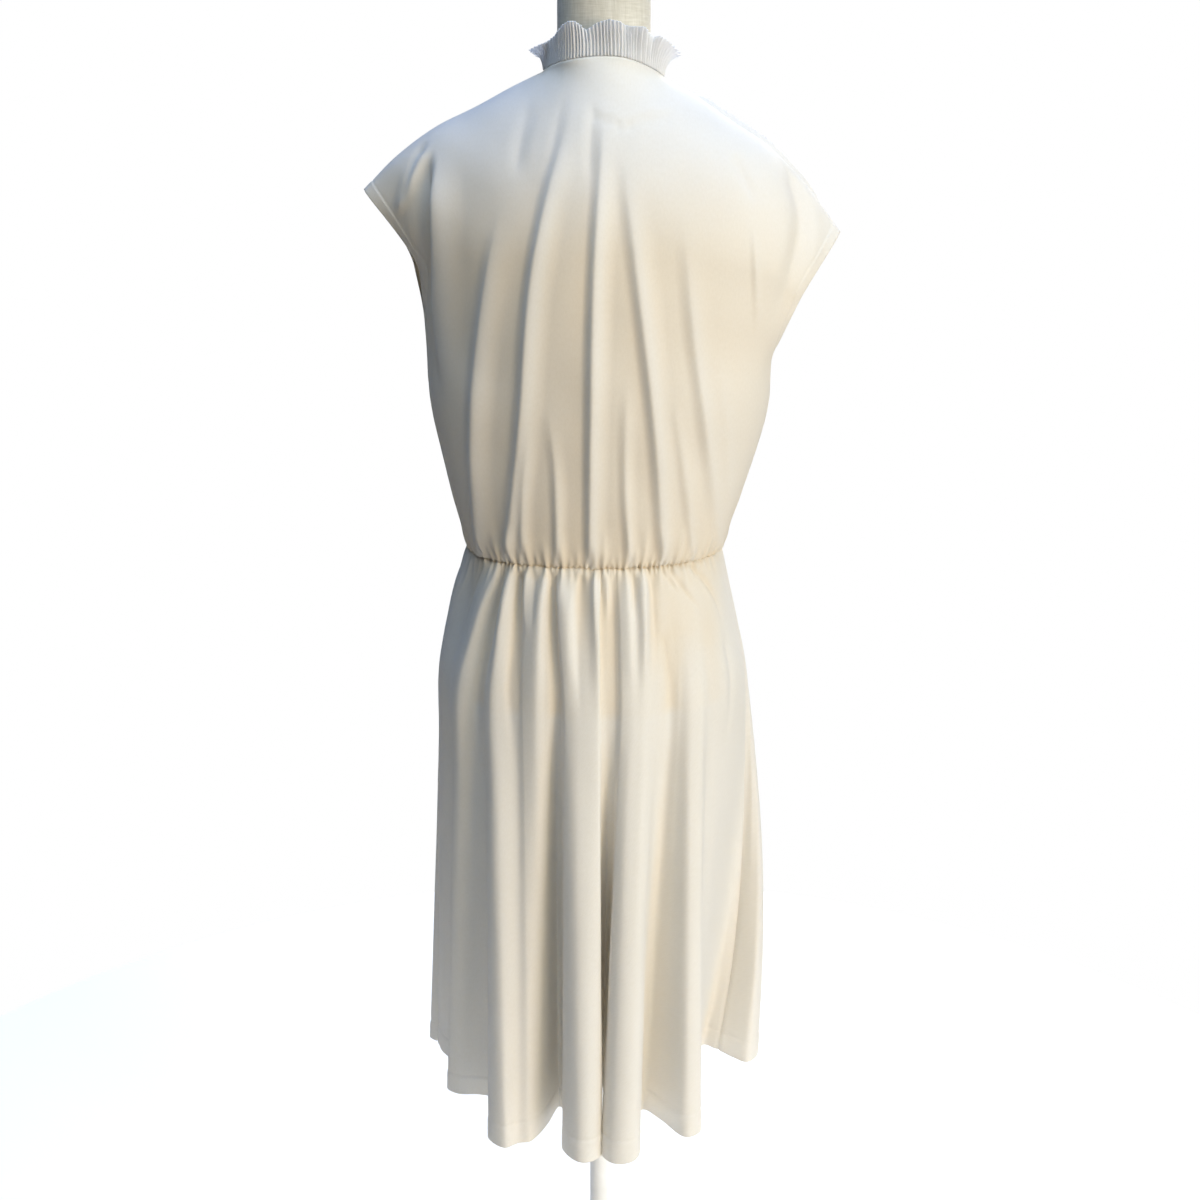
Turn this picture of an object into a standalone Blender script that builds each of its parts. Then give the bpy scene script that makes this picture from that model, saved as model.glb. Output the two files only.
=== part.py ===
"""Prairie dress on a limbless dress form.

A high-necked dress with grown-on cap sleeves, a pleated ruffle collar, an
elasticated waist seam and a full skirt that hangs in deep uneven folds. It
hangs on a smooth neck-and-torso form that stands on a pole and a round base.

Metres, +Z up. The origin is the middle of the base's underside. The front of
the dress faces -Y. The tables below use garment columns: u is the distance to
the wearer's right (-X), d the distance behind the middle plane (+Y), z the
height over the floor when the form is at the pole's lowest setting. The form
and the dress stand POLE_LIFT higher than that.
"""
import math

import bmesh
import bpy
import numpy as np

# ------------------------------------------------------------ driving sizes
POLE_LIFT = 0.120       # how far the form is raised on its pole
CLOTH = 0.0012          # wall of the dress cloth
RUFFLE_WALL = 0.0010    # wall of the pleated collar
SEAM_GAP = 0.0004       # clear space between two pieces at a seam
ON_TOP = 0.0003         # clear space under a piece that lies on another
WAIST_SEAM_Z = 0.9310   # middle of the waist seam
HIP_Z = 0.800           # where the skirt leaves the form
HEM_Z = 0.272           # skirt hem
COLLAR_HIGH = 0.034     # ruffle, seam to edge
PLEAT_PITCH = 0.0051    # ruffle pleats along the neck seam
PLACKET_WIDE = 0.026
PLACKET_THICK = 0.0011
BUTTON_R = 0.0056
BUTTON_THICK = 0.0026
FORM_BOTTOM_Z = 0.772
NECK_TOP_Z = 1.552
POLE_R = 0.0125
BASE_R = 0.165
BASE_THICK = 0.014

# ------------------------------------------------------------------ tables
# Sections of the dress form: height, middle u, half width, behind, in front.
FORM = [
    ("bottom", 0.772, -0.008, 0.146, 0.101, 0.101),
    ("lower_edge", 0.786, -0.008, 0.153, 0.110, 0.110),
    ("seat", 0.812, -0.008, 0.155, 0.113, 0.113),
    ("hip", 0.850, -0.008, 0.150, 0.110, 0.112),
    ("high_hip", 0.890, -0.008, 0.142, 0.101, 0.107),
    ("over_hip", 0.932, -0.007, 0.133, 0.090, 0.099),
    ("low_waist", 0.980, -0.006, 0.123, 0.082, 0.090),
    ("waist", 1.020, -0.005, 0.119, 0.079, 0.087),
    ("ribs", 1.080, -0.003, 0.128, 0.085, 0.099),
    ("under_bust", 1.140, -0.001, 0.140, 0.093, 0.117),
    ("bust", 1.190, 0.000, 0.149, 0.101, 0.126),
    ("chest", 1.240, 0.000, 0.156, 0.107, 0.114),
    ("upper_chest", 1.290, 0.000, 0.163, 0.109, 0.094),
    ("shoulder_end", 1.325, 0.000, 0.166, 0.104, 0.079),
    ("shoulder_4", 1.347, 0.000, 0.161, 0.096, 0.067),
    ("shoulder_3", 1.364, 0.000, 0.147, 0.084, 0.058),
    ("shoulder_2", 1.381, 0.001, 0.125, 0.075, 0.052),
    ("shoulder_1", 1.396, 0.002, 0.097, 0.064, 0.046),
    ("neck_root", 1.411, 0.003, 0.0680, 0.0540, 0.0430),
    ("neck_curve", 1.430, 0.004, 0.0515, 0.0480, 0.0410),
    ("neck_low", 1.455, 0.004, 0.0490, 0.0470, 0.0430),
    ("neck", 1.505, 0.004, 0.0480, 0.0450, 0.0450),
    ("neck_top", 1.552, 0.004, 0.0475, 0.0440, 0.0450),
]

# Sections of the bodice below the arms and up to the chest line: name, t up
# the panel, height and depth at the middle, sweep of the section in degrees,
# then u, d, z of its left and its right edge. The side seams end at
# "underarm", and from there up the edges are the sleeve hems.
BACK_ROWS = [
    ("waist_seam", 0.00, 0.9312, 0.1000, 90, -0.1510, -0.004, 0.9312, 0.1370, -0.004, 0.9312),
    ("blouse", 0.035, 0.9440, 0.1075, 90, -0.1550, -0.004, 0.9440, 0.1425, -0.004, 0.9440),
    ("over_blouse", 0.10, 0.9800, 0.1150, 90, -0.1605, -0.004, 0.9780, 0.1530, -0.004, 0.9780),
    ("low_back", 0.22, 1.0480, 0.1205, 90, -0.1755, -0.005, 1.0440, 0.1725, -0.004, 1.0420),
    ("mid_back", 0.36, 1.1120, 0.1250, 89, -0.1865, -0.009, 1.1040, 0.1845, -0.001, 1.1000),
    ("underarm", 0.44, 1.1560, 0.1272, 86, -0.1890, -0.016, 1.1420, 0.1855, 0.006, 1.1390),
    ("blades", 0.53, 1.2080, 0.1280, 78, -0.1915, -0.002, 1.1880, 0.1900, 0.034, 1.1690),
    ("chest_line", 0.62, 1.2620, 0.1262, 69, -0.1940, 0.014, 1.2330, 0.2030, 0.047, 1.2050),
]
FRONT_ROWS = [
    ("waist_seam", 0.00, 0.9312, -0.1060, 90, -0.1510, -0.004, 0.9312, 0.1370, -0.004, 0.9312),
    ("blouse", 0.035, 0.9440, -0.1150, 90, -0.1550, -0.004, 0.9440, 0.1425, -0.004, 0.9440),
    ("over_blouse", 0.10, 0.9800, -0.1240, 90, -0.1605, -0.004, 0.9780, 0.1530, -0.004, 0.9780),
    ("low_front", 0.22, 1.0480, -0.1330, 90, -0.1755, -0.005, 1.0440, 0.1725, -0.004, 1.0420),
    ("mid_front", 0.36, 1.1120, -0.1420, 89, -0.1865, -0.009, 1.1040, 0.1845, -0.001, 1.1000),
    ("underarm", 0.44, 1.1560, -0.1465, 86, -0.1890, -0.016, 1.1420, 0.1855, 0.006, 1.1390),
    ("bust", 0.53, 1.2080, -0.1460, 80, -0.1950, -0.050, 1.1860, 0.1920, -0.034, 1.1800),
    ("chest_line", 0.62, 1.2600, -0.1340, 72, -0.2050, -0.062, 1.2330, 0.2070, -0.050, 1.2180),
]

# Top edge of the bodice: across s, the neck seam and then the shoulder seam
# out to the sleeve's point, for the back, and the neck seam for the front.
# Then how the cloth arrives there: its run along d and z.
NECK_S = 0.24           # where the neck seam meets the shoulder seam
SHOULDER = [
    # name, s, left u, d, z, right u, d, z
    ("neck_point", 0.24, -0.0570, 0.0040, 1.4370, 0.0660, 0.0060, 1.4310),
    ("shoulder_1", 0.36, -0.0900, 0.0040, 1.4190, 0.0980, 0.0090, 1.4120),
    ("shoulder_2", 0.50, -0.1300, 0.0040, 1.3985, 0.1340, 0.0100, 1.3870),
    ("shoulder_3", 0.65, -0.1680, 0.0050, 1.3780, 0.1740, 0.0110, 1.3600),
    ("shoulder_4", 0.82, -0.2120, 0.0060, 1.3500, 0.2150, 0.0100, 1.3220),
    ("sleeve_point", 1.00, -0.2460, 0.0030, 1.3200, 0.2520, 0.0040, 1.2770),
]
BACK_NECK = [
    ("centre", 0.00, 0.0040, 0.0600, 1.4520),
    ("side", 0.12, 0.0340, 0.0500, 1.4480),
]
FRONT_NECK = [
    ("centre", 0.00, 0.0000, -0.0720, 1.4140),
    ("side", 0.12, 0.0330, -0.0600, 1.4180),
]
ARRIVAL = [
    # name, s, reach of the start, back run d, back run z, front run d, front run z
    ("centre", 0.00, 0.190, -0.085, 0.125, 0.060, 0.110),
    ("neck_side", 0.12, 0.190, -0.120, 0.100, 0.095, 0.085),
    ("neck_point", 0.24, 0.190, -0.165, 0.030, 0.150, 0.050),
    ("shoulder_2", 0.50, 0.175, -0.165, 0.022, 0.160, 0.000),
    ("shoulder_4", 0.82, 0.110, -0.100, 0.020, 0.110, 0.004),
    ("sleeve_point", 1.00, 0.070, -0.040, 0.030, 0.062, 0.022),
]

# Largest folds of the bodice: panel, height from and to, u at three heights
# (low, middle, high), half width to the left and right, rise.
BODICE_FOLDS = [
    ("A", "back", 0.945, 1.370, -0.103, -0.080, -0.050, 0.010, 0.016, -0.0050),
    ("A_ridge", "back", 0.945, 1.350, -0.083, -0.060, -0.034, 0.012, 0.012, 0.0040),
    ("B", "back", 0.945, 1.395, -0.024, -0.016, -0.004, 0.010, 0.015, -0.0045),
    ("B_ridge", "back", 0.945, 1.390, -0.004, 0.000, 0.010, 0.013, 0.013, 0.0040),
    ("C", "back", 0.950, 1.340, 0.084, 0.057, 0.027, 0.012, 0.012, -0.0040),
    ("D", "back", 0.960, 1.320, 0.122, 0.094, 0.072, 0.012, 0.014, -0.0035),
    ("E", "back", 0.945, 1.300, -0.136, -0.135, -0.115, 0.011, 0.012, -0.0045),
    ("F", "front", 0.945, 1.250, -0.110, -0.100, -0.085, 0.013, 0.013, -0.0045),
    ("G", "front", 0.945, 1.330, -0.066, -0.062, -0.050, 0.012, 0.014, -0.0040),
    ("H", "front", 0.945, 1.330, 0.060, 0.058, 0.046, 0.014, 0.012, -0.0040),
    ("I", "front", 0.945, 1.240, 0.105, 0.104, 0.090, 0.012, 0.013, -0.0045),
]

# Folds of the skirt, in order from the left side seam across the back to the
# right side seam and round the front. Degrees are counted from the middle of
# the back, at the waist seam and where the cloth leaves the form; out is how
# far it stands off the form there, bow how far the line bows out halfway
# down, and hem_u and hem_d where it meets the hem. All but degrees in mm.
SKIRT = [
    # name, panel, waist_deg, hip_deg, out, bow, hem_u, hem_d
    ("side_L", "back", -90, -91, 12, 0, -198, -31),
    ("panel_L", "back", -84, -84, 13, 0, -191, -15),
    ("tuck_1", "back", -79, -79, 9, 0, -174, 4),
    ("rise_1", "back", -74, -74, 9, 0, -174, 34),
    ("edge_1", "back", -69, -69, 11, 0, -183, 56),
    ("crest_1", "back", -64, -63, 11, 0, -170, 66),
    ("flat_1", "back", -57, -54, 7, 0, -142, 70),
    ("tuck_2", "back", -50, -46, 3, 0, -118, 84),
    ("rise_2", "back", -46, -43, 5, 0, -114, 118),
    ("edge_2", "back", -42, -40, 9, 0, -122, 156),
    ("crest_2", "back", -38, -36, 10, 0, -106, 177),
    ("slope_2", "back", -33, -30, 7, 0, -84, 166),
    ("slope_3", "back", -28, -25, 4, 0, -64, 136),
    ("valley_3", "back", -24, -21, 2, 0, -48, 106),
    ("tuck_4", "back", -21, -18, 3, 0, -37, 116),
    ("rise_4", "back", -18, -15, 6, 0, -37, 150),
    ("edge_4", "back", -15, -12.5, 9, 0, -42, 180),
    ("crest_4", "back", -10, -8.5, 11, 0, -22, 203),
    ("turn_4", "back", -5, -5, 10, 0, -3, 190),
    ("fall_4", "back", -2, -2.5, 6, 0, -5, 145),
    ("depth_4", "back", 0, -0.7, 3, 0, -5, 90),
    ("valley_5", "back", 2, 1.2, 1, 0, 3, 40),
    ("depth_5", "back", 4, 3, 3, 0, 10, 90),
    ("rise_5", "back", 6, 5, 6, 0, 9, 145),
    ("turn_5", "back", 8.5, 7.5, 10, 0, 5, 186),
    ("crest_5", "back", 13, 11.5, 12, 0, 22, 206),
    ("edge_5", "back", 17, 15.5, 10, 0, 42, 184),
    ("fall_5", "back", 20, 18, 6, 0, 38, 148),
    ("tuck_6", "back", 22.5, 20.5, 3, 0, 40, 114),
    ("valley_6", "back", 26, 23.5, 2, 0, 50, 101),
    ("slope_6", "back", 31, 29, 4, 0, 70, 122),
    ("crest_6", "back", 38, 36, 8, 0, 98, 156),
    ("edge_6", "back", 44, 42, 9, 0, 114, 146),
    ("fall_6", "back", 50, 48, 6, 0, 112, 105),
    ("depth_6", "back", 57, 56, 4, 0, 110, 50),
    ("depth_7", "back", 65, 66, 3, 0, 117, -15),
    ("valley_7", "back", 75, 78, 2, 4, 130, -50),
    ("side_R", "front", 88, 90, 4, 8, 146, -36),
    ("rise_8", "front", 91, 94, 6, 12, 163, -14),
    ("crest_8", "front", 95, 98, 8, 12, 180, -2),
    ("turn_8", "front", 100, 103, 9, 12, 193, -16),
    ("side_8", "front", 106, 109, 8, 10, 197, -46),
    ("fall_8", "front", 113, 116, 5, 6, 186, -82),
    ("valley_9", "front", 121, 123, 2, 0, 156, -104),
    ("rise_9", "front", 128, 130, 5, 0, 150, -140),
    ("crest_9", "front", 134, 136, 9, 0, 146, -176),
    ("turn_9", "front", 140, 142, 9, 0, 120, -190),
    ("slope_9", "front", 146, 148, 5, 0, 98, -172),
    ("valley_10", "front", 153, 154, 2, 0, 78, -142),
    ("rise_10", "front", 158, 159, 5, 0, 66, -166),
    ("crest_10", "front", 164, 165, 9, 0, 50, -202),
    ("turn_10", "front", 171, 171, 9, 0, 26, -208),
    ("slope_10", "front", 177, 176, 5, 0, 10, -178),
    ("valley_11", "front", 183, 181, 2, 0, -6, -150),
    ("rise_11", "front", 189, 186, 5, 0, -20, -178),
    ("crest_11", "front", 195, 192, 9, 0, -38, -210),
    ("turn_11", "front", 202, 198, 9, 0, -62, -204),
    ("slope_11", "front", 209, 204, 5, 0, -80, -172),
    ("valley_12", "front", 216, 210, 2, 0, -96, -142),
    ("rise_12", "front", 223, 217, 5, 0, -112, -160),
    ("crest_12", "front", 230, 224, 9, 0, -136, -186),
    ("turn_12", "front", 237, 231, 9, 0, -160, -172),
    ("slope_12", "front", 243, 239, 5, 0, -166, -136),
    ("valley_13", "front", 250, 247, 3, 0, -172, -104),
    ("rise_13", "front", 257, 255, 8, 0, -192, -86),
    ("side_13", "front", 264, 262, 12, 0, -208, -62),
]

# Lobes of the ruffle's edge: degrees from the middle of the back, half width
# in degrees, how far the edge is thrown out, and how far that lowers it, mm.
LOBES = [
    ("back_left_end", -88, 24, 15.0, 9.0),
    ("back_left", -38, 24, 12.0, 1.0),
    ("back_middle", 6, 24, 10.0, 0.0),
    ("back_right", 40, 17, 11.0, 4.0),
    ("back_right_end", 82, 25, 16.0, 8.0),
    ("front_right", 130, 26, 15.0, 7.0),
    ("front_right_end", 168, 14, 12.0, 5.0),
    ("front_left_end", 195, 15, 13.0, 5.0),
    ("front_left", 232, 24, 15.0, 7.0),
]

BUTTON_HEIGHTS = [0.990, 1.080, 1.180, 1.280, 1.365]

COLOURS = {
    "dress_cloth": ((0.86, 0.83, 0.76), 0.62),
    "ruffle_cloth": ((0.90, 0.89, 0.86), 0.60),
    "elastic": ((0.88, 0.87, 0.84), 0.80),
    "button": ((0.88, 0.86, 0.80), 0.25),
    "form_linen": ((0.72, 0.68, 0.60), 0.85),
    "stand_paint": ((0.90, 0.89, 0.87), 0.35),
}


# ------------------------------------------------------------ small helpers
def curve(knots, values, at, ends=None):
    """Smooth curve through the values at the knots, read at the given places."""
    k = np.asarray(knots, float)
    v = np.asarray(values, float)
    flat = v.ndim == 1
    v = v.reshape(len(k), -1)
    at = np.atleast_1d(np.asarray(at, float))
    h = np.diff(k)[:, None]
    slope = np.diff(v, axis=0) / h
    m = np.empty_like(v)
    m[1:-1] = (slope[:-1] * h[1:] + slope[1:] * h[:-1]) / (h[:-1] + h[1:])
    m[0] = slope[0] if ends is None else ends[0]
    m[-1] = slope[-1] if ends is None else ends[1]
    i = np.clip(np.searchsorted(k, at, side="right") - 1, 0, len(k) - 2)
    w = h[i]
    t = ((at - k[i])[:, None]) / w
    out = ((2 * t**3 - 3 * t**2 + 1) * v[i] + (t**3 - 2 * t**2 + t) * w * m[i]
           + (-2 * t**3 + 3 * t**2) * v[i + 1] + (t**3 - t**2) * w * m[i + 1])
    return out[:, 0] if flat else out


def ease(x):
    """0 to 1 and level at both ends."""
    x = np.clip(x, 0.0, 1.0)
    return x * x * (3 - 2 * x)


def unit(v):
    return v / np.maximum(np.linalg.norm(v, axis=-1, keepdims=True), 1e-12)


def col(table, name_row):
    return np.array([row[name_row] for row in table], float)


def grid_normals(grid, around=False):
    """Normals of a grid of points, rows by columns, all on one side."""
    across = np.empty_like(grid)
    if around:
        across[:] = np.roll(grid, -1, axis=1) - np.roll(grid, 1, axis=1)
    else:
        across[:, 1:-1] = grid[:, 2:] - grid[:, :-2]
        across[:, 0] = grid[:, 1] - grid[:, 0]
        across[:, -1] = grid[:, -1] - grid[:, -2]
    up = np.empty_like(grid)
    up[1:-1] = grid[2:] - grid[:-2]
    up[0] = grid[1] - grid[0]
    up[-1] = grid[-1] - grid[-2]
    n = unit(np.cross(unit(across), unit(up)))
    middle = np.array([0.0, 0.0, 0.0])
    out = grid - middle
    out[..., 2] = 0
    if (n * out).sum() < 0:
        n = -n
    return n


# ------------------------------------------------------------ the surfaces
def top_edge(panel, s):
    """Neck seam and shoulder seam of a bodice panel, in u, d, z, over s."""
    neck = BACK_NECK if panel == "back" else FRONT_NECK
    out = np.empty((len(s), 3))
    for side, first in ((-1, 2), (1, 5)):
        mine = (s <= 0) if side < 0 else (s > 0)
        a = np.abs(s[mine])
        sh = np.array([r[first:first + 3] for r in SHOULDER])
        sh_s = col(SHOULDER, 1)
        nk = np.array([[r[2] if r[1] == 0 else side * r[2], r[3], r[4]] for r in neck] + [list(sh[0])])
        nk_s = np.array([r[1] for r in neck] + [NECK_S])
        span = nk[1] - nk[0]
        start = np.array([span[0] / (nk_s[1] - nk_s[0]), 0.0, 0.0])
        end = (nk[2] - nk[1]) / (nk_s[2] - nk_s[1]) * np.array([0.55, 1.35, 1.0])
        res = np.empty((len(a), 3))
        low = a <= NECK_S
        if low.any():
            res[low] = curve(nk_s, nk, a[low], ends=(start, end))
        if (~low).any():
            res[~low] = curve(sh_s, sh, a[~low])
        out[mine] = res
    return out


def section(row, s):
    """One section of the bodice across s, in u, d, z."""
    _, _, zc, dc, deg, ul, dl, zl, ur, dr, zr = row
    phi = math.radians(deg)
    a = np.abs(s)
    ue = np.where(s < 0, ul, ur)
    de = np.where(s < 0, dl, dr)
    ze = np.where(s < 0, zl, zr)
    u = ue * np.sin(a * phi) / math.sin(phi)
    fall = np.clip((np.cos(a * phi) - math.cos(phi)) / (1 - math.cos(phi)), 0, 1) ** 0.88
    return np.stack([u, de + (dc - de) * fall, zc + (ze - zc) * a**2], -1)


def bodice(panel, s, t):
    """Outer face of a bodice panel over s, left to right, and t, upwards."""
    rows = BACK_ROWS if panel == "back" else FRONT_ROWS
    s = np.asarray(s, float)
    t = np.asarray(t, float)
    knots = col(rows, 1)
    net = np.array([section(r, s) for r in rows])          # rows, s, 3
    flat = net.reshape(len(rows), -1)
    last = (flat[-1] - flat[-2]) / (knots[-1] - knots[-2])
    first = (flat[1] - flat[0]) / (knots[1] - knots[0])
    low = t <= knots[-1]
    out = np.empty((len(t), len(s), 3))
    if low.any():
        out[low] = curve(knots, flat, t[low], ends=(first, last)).reshape(-1, len(s), 3)
    if (~low).any():
        tau = ((t[~low] - knots[-1]) / (1 - knots[-1]))[:, None, None]
        p0 = net[-1][None]
        p1 = top_edge(panel, s)[None]
        a = np.abs(s)
        reach = curve(col(ARRIVAL, 1), col(ARRIVAL, 2), a)[:, None]
        run_d = curve(col(ARRIVAL, 1), col(ARRIVAL, 3 if panel == "back" else 5), a)
        run_z = curve(col(ARRIVAL, 1), col(ARRIVAL, 4 if panel == "back" else 6), a)
        m0 = (unit(last.reshape(len(s), 3)) * reach)[None]
        m1 = np.stack([0.06 * np.sign(s) * a**3, run_d, run_z], -1)[None]
        out[~low] = ((2 * tau**3 - 3 * tau**2 + 1) * p0 + (tau**3 - 2 * tau**2 + tau) * m0
                     + (-2 * tau**3 + 3 * tau**2) * p1 + (tau**3 - tau**2) * m1)
    return out


def seam_normals(panel, normals, s, t):
    """Shared directions at the seams, so that the walls' ends lie face to face."""
    n = normals
    side_t = next(r[1] for r in BACK_ROWS if r[0] == "underarm")
    for c, sign in ((0, -1.0), (-1, 1.0)):
        if abs(abs(s[c]) - 1) < 1e-9:
            below = t <= side_t + 1e-9
            n[below, c] = (sign, 0, 0)
    n[0, :, 2] = 0
    n[0] = unit(n[0])
    a = np.abs(s)
    lift = ease((a - NECK_S + 0.04) / 0.08)
    shared = unit(np.stack([0.42 * np.sign(s) * np.ones_like(s), np.full_like(s, 0.10), np.full_like(s, 0.9)], -1))
    n[-1] = unit(n[-1] * (1 - lift)[:, None] + shared * lift[:, None])
    return n


def press_folds(panel, grid, normals):
    """The bodice panel's grid with its largest folds."""
    out = grid.copy()
    for name, where, z0, z1, ul, um, uh, wl, wr, rise in BODICE_FOLDS:
        if where != panel:
            continue
        z = grid[..., 2]
        run = np.clip((z - z0) / (z1 - z0), 0, 1)
        line = curve([0.0, 0.5, 1.0], [ul, um, uh], run.ravel()).reshape(run.shape)
        off = grid[..., 0] - line
        width = np.where(off < 0, wl, wr)
        fade = ease((z - z0) / 0.03) * ease((z1 - z) / (0.55 * (z1 - z0)))
        out += (rise * fade * np.exp(-(off / width) ** 2))[..., None] * normals
    return out


def bodice_grid(panel, s, t, gap=SEAM_GAP):
    """Points and directions of a bodice panel, its edges drawn in at seams."""
    s = np.asarray(s, float)
    t = np.asarray(t, float)
    grid = bodice(panel, s, t)
    n = seam_normals(panel, grid_normals(grid), s, t)
    grid = press_folds(panel, grid, n)
    back = 1.0 if panel == "back" else -1.0
    side_t = next(r[1] for r in BACK_ROWS if r[0] == "underarm")
    for c in (0, -1):
        if abs(abs(s[c]) - 1) < 1e-9:
            grid[t <= side_t + 1e-9, c, 1] += back * gap / 2
    over = np.abs(s) >= NECK_S - 1e-9
    grid[-1, over, 1] += back * gap / 2
    grid[0, :, 2] += gap / 2
    return grid, n


def ring_point(deg, z, out=0.0):
    """A point of the skirt where it still lies round the form."""
    a = np.radians(deg)
    k = (WAIST_SEAM_Z - z) / (WAIST_SEAM_Z - HIP_Z)
    half = 0.144 + (0.1675 - 0.144) * k + out
    mid = -0.007 - 0.002 * k
    behind = 0.100 + (0.1255 - 0.100) * k + out
    front = 0.106 + (0.1270 - 0.106) * k + out
    c = np.cos(a)
    return mid + half * np.sin(a), np.where(c > 0, behind, front) * c


def skirt_ring(z, per_fold):
    """Closed section of the skirt at one height, per_fold points to a fold line."""
    wd, hd = col(SKIRT, 2), col(SKIRT, 3)
    out, bow = col(SKIRT, 4) / 1000, col(SKIRT, 5) / 1000
    hem = np.stack([col(SKIRT, 6), col(SKIRT, 7)], -1) / 1000
    hip = np.stack(ring_point(hd, HIP_Z, out), -1)
    if z >= HIP_Z:
        k = (WAIST_SEAM_Z - z) / (WAIST_SEAM_Z - HIP_Z)
        deg = wd + (hd - wd) * k
        pts = np.stack(ring_point(deg, z, out * k**1.3), -1)
    else:
        k = (HIP_Z - z) / (HIP_Z - HEM_Z)
        pts = hip + (hem - hip) * k
        pts = pts + unit(hip) * (bow * 4 * k * (1 - k))[:, None]
    chord = np.sqrt(np.linalg.norm(np.roll(hem, -1, axis=0) - hem, axis=1))
    knots = np.concatenate([[0], np.cumsum(chord)])
    n = len(pts)
    pad = 3
    ext = np.concatenate([pts[-pad:], pts, pts[:pad + 1]])
    ext_k = np.concatenate([knots[-1 - pad:-1] - knots[-1], knots, knots[1:pad + 1] + knots[-1]])
    at = np.concatenate([knots[i] + (knots[i + 1] - knots[i]) * np.arange(per_fold) / per_fold for i in range(n)])
    uv = curve(ext_k, ext, at)
    return np.column_stack([uv, np.full(len(uv), z)])


def skirt_grid(heights, per_fold):
    """The whole skirt, waist to hem, as rows of closed sections, and normals."""
    grid = np.array([skirt_ring(z, per_fold) for z in heights])
    n = grid_normals(grid, around=True)
    n[0, :, 2] = 0
    n[0] = unit(n[0])
    return grid, n


def neck_seam(count):
    """Neck seam from the front slit round the back to the slit again."""
    s = np.linspace(-NECK_S, NECK_S, 81)
    back = top_edge("back", s)
    front = top_edge("front", s)
    left = front[:41][::-1]              # middle of the front out to the left
    right = front[40:][::-1]             # right shoulder in to the middle
    path = np.concatenate([left[:-1], back, right[1:]])
    step = np.concatenate([[0], np.cumsum(np.linalg.norm(np.diff(path, axis=0), axis=1))])
    slit = 0.0012
    at = np.linspace(slit, step[-1] - slit, count)
    return np.stack([np.interp(at, step, path[:, i]) for i in range(3)], -1), step[-1]


def lobe_edge(deg):
    """Throw and drop of the ruffle's free edge at an angle round the neck."""
    throw = np.full_like(deg, 3.0)
    drop = np.zeros_like(deg)
    for _, at, half, out, low in LOBES:
        off = (deg - at + 180) % 360 - 180
        w = np.clip(1 - (off / half) ** 2, 0, 1) ** 0.75
        throw = np.maximum(throw, 3.0 + (out - 3.0) * w)
        drop = np.maximum(drop, low * w)
    return throw / 1000, drop / 1000


def ruffle_grid(levels, per_pleat=2):
    """The pleated collar: rows up, columns along the neck seam."""
    _, long = neck_seam(9)
    pleats = int(round(long / PLEAT_PITCH))
    count = pleats * per_pleat + 1
    base, _ = neck_seam(count)
    middle = np.array([0.004, -0.004])
    tangent = unit(np.gradient(base, axis=0))
    out = unit(np.stack([tangent[:, 1], -tangent[:, 0], np.zeros(count)], -1))
    flip = ((base[:, :2] - middle) * out[:, :2]).sum(-1) < 0
    out[flip] *= -1
    deg = np.degrees(np.arctan2(base[:, 0] - middle[0], base[:, 1] - middle[1])) % 360
    throw, drop = lobe_edge(deg)
    phase = np.arange(count) / per_pleat
    wave = 1 - 4 * np.abs(phase % 1 - 0.5)
    rows = []
    for h in levels:
        swing = 0.0009 + 0.0011 * h
        p = base + out * (throw * (0.25 * h + 0.75 * h**2) + wave * swing)[:, None]
        p[:, 2] += 0.0006 + COLLAR_HIGH * (h - 0.10 * h**2) - drop * h**2
        rows.append(p)
    return np.array(rows)


# ------------------------------------------------------------ making solids
def clear_scene():
    for ob in list(bpy.data.objects):
        bpy.data.objects.remove(ob, do_unlink=True)


def material(slot):
    got = bpy.data.materials.get(slot)
    if got:
        return got
    colour, rough = COLOURS[slot]
    mat = bpy.data.materials.new(slot)
    mat.use_nodes = True
    shader = mat.node_tree.nodes["Principled BSDF"]
    shader.inputs["Base Color"].default_value = (*colour, 1)
    shader.inputs["Roughness"].default_value = rough
    shader.inputs["Metallic"].default_value = 0.0
    return mat


def raised():
    """The empty that carries the form and the dress on the raised pole."""
    got = bpy.data.objects.get("raised_form")
    if got is None:
        got = bpy.data.objects.new("raised_form", None)
        got.location = (0, 0, POLE_LIFT)
        bpy.context.scene.collection.objects.link(got)
    return got


def finish(bm, name, slot, smooth=False, on_floor=False):
    bmesh.ops.recalc_face_normals(bm, faces=bm.faces)
    bmesh.ops.triangulate(bm, faces=bm.faces, quad_method="FIXED", ngon_method="BEAUTY")
    mesh = bpy.data.meshes.new(name)
    bm.to_mesh(mesh)
    bm.free()
    if smooth:
        mesh.shade_smooth()
        mesh.set_sharp_from_angle(angle=math.radians(40))
    mesh.materials.append(material(slot))
    ob = bpy.data.objects.new(name, mesh)
    bpy.context.scene.collection.objects.link(ob)
    if not on_floor:
        ob.parent = raised()
    return ob


def to_world(p):
    """Garment columns u, d, z to world X, Y, Z."""
    return (-float(p[0]), float(p[1]), float(p[2]))


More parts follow.
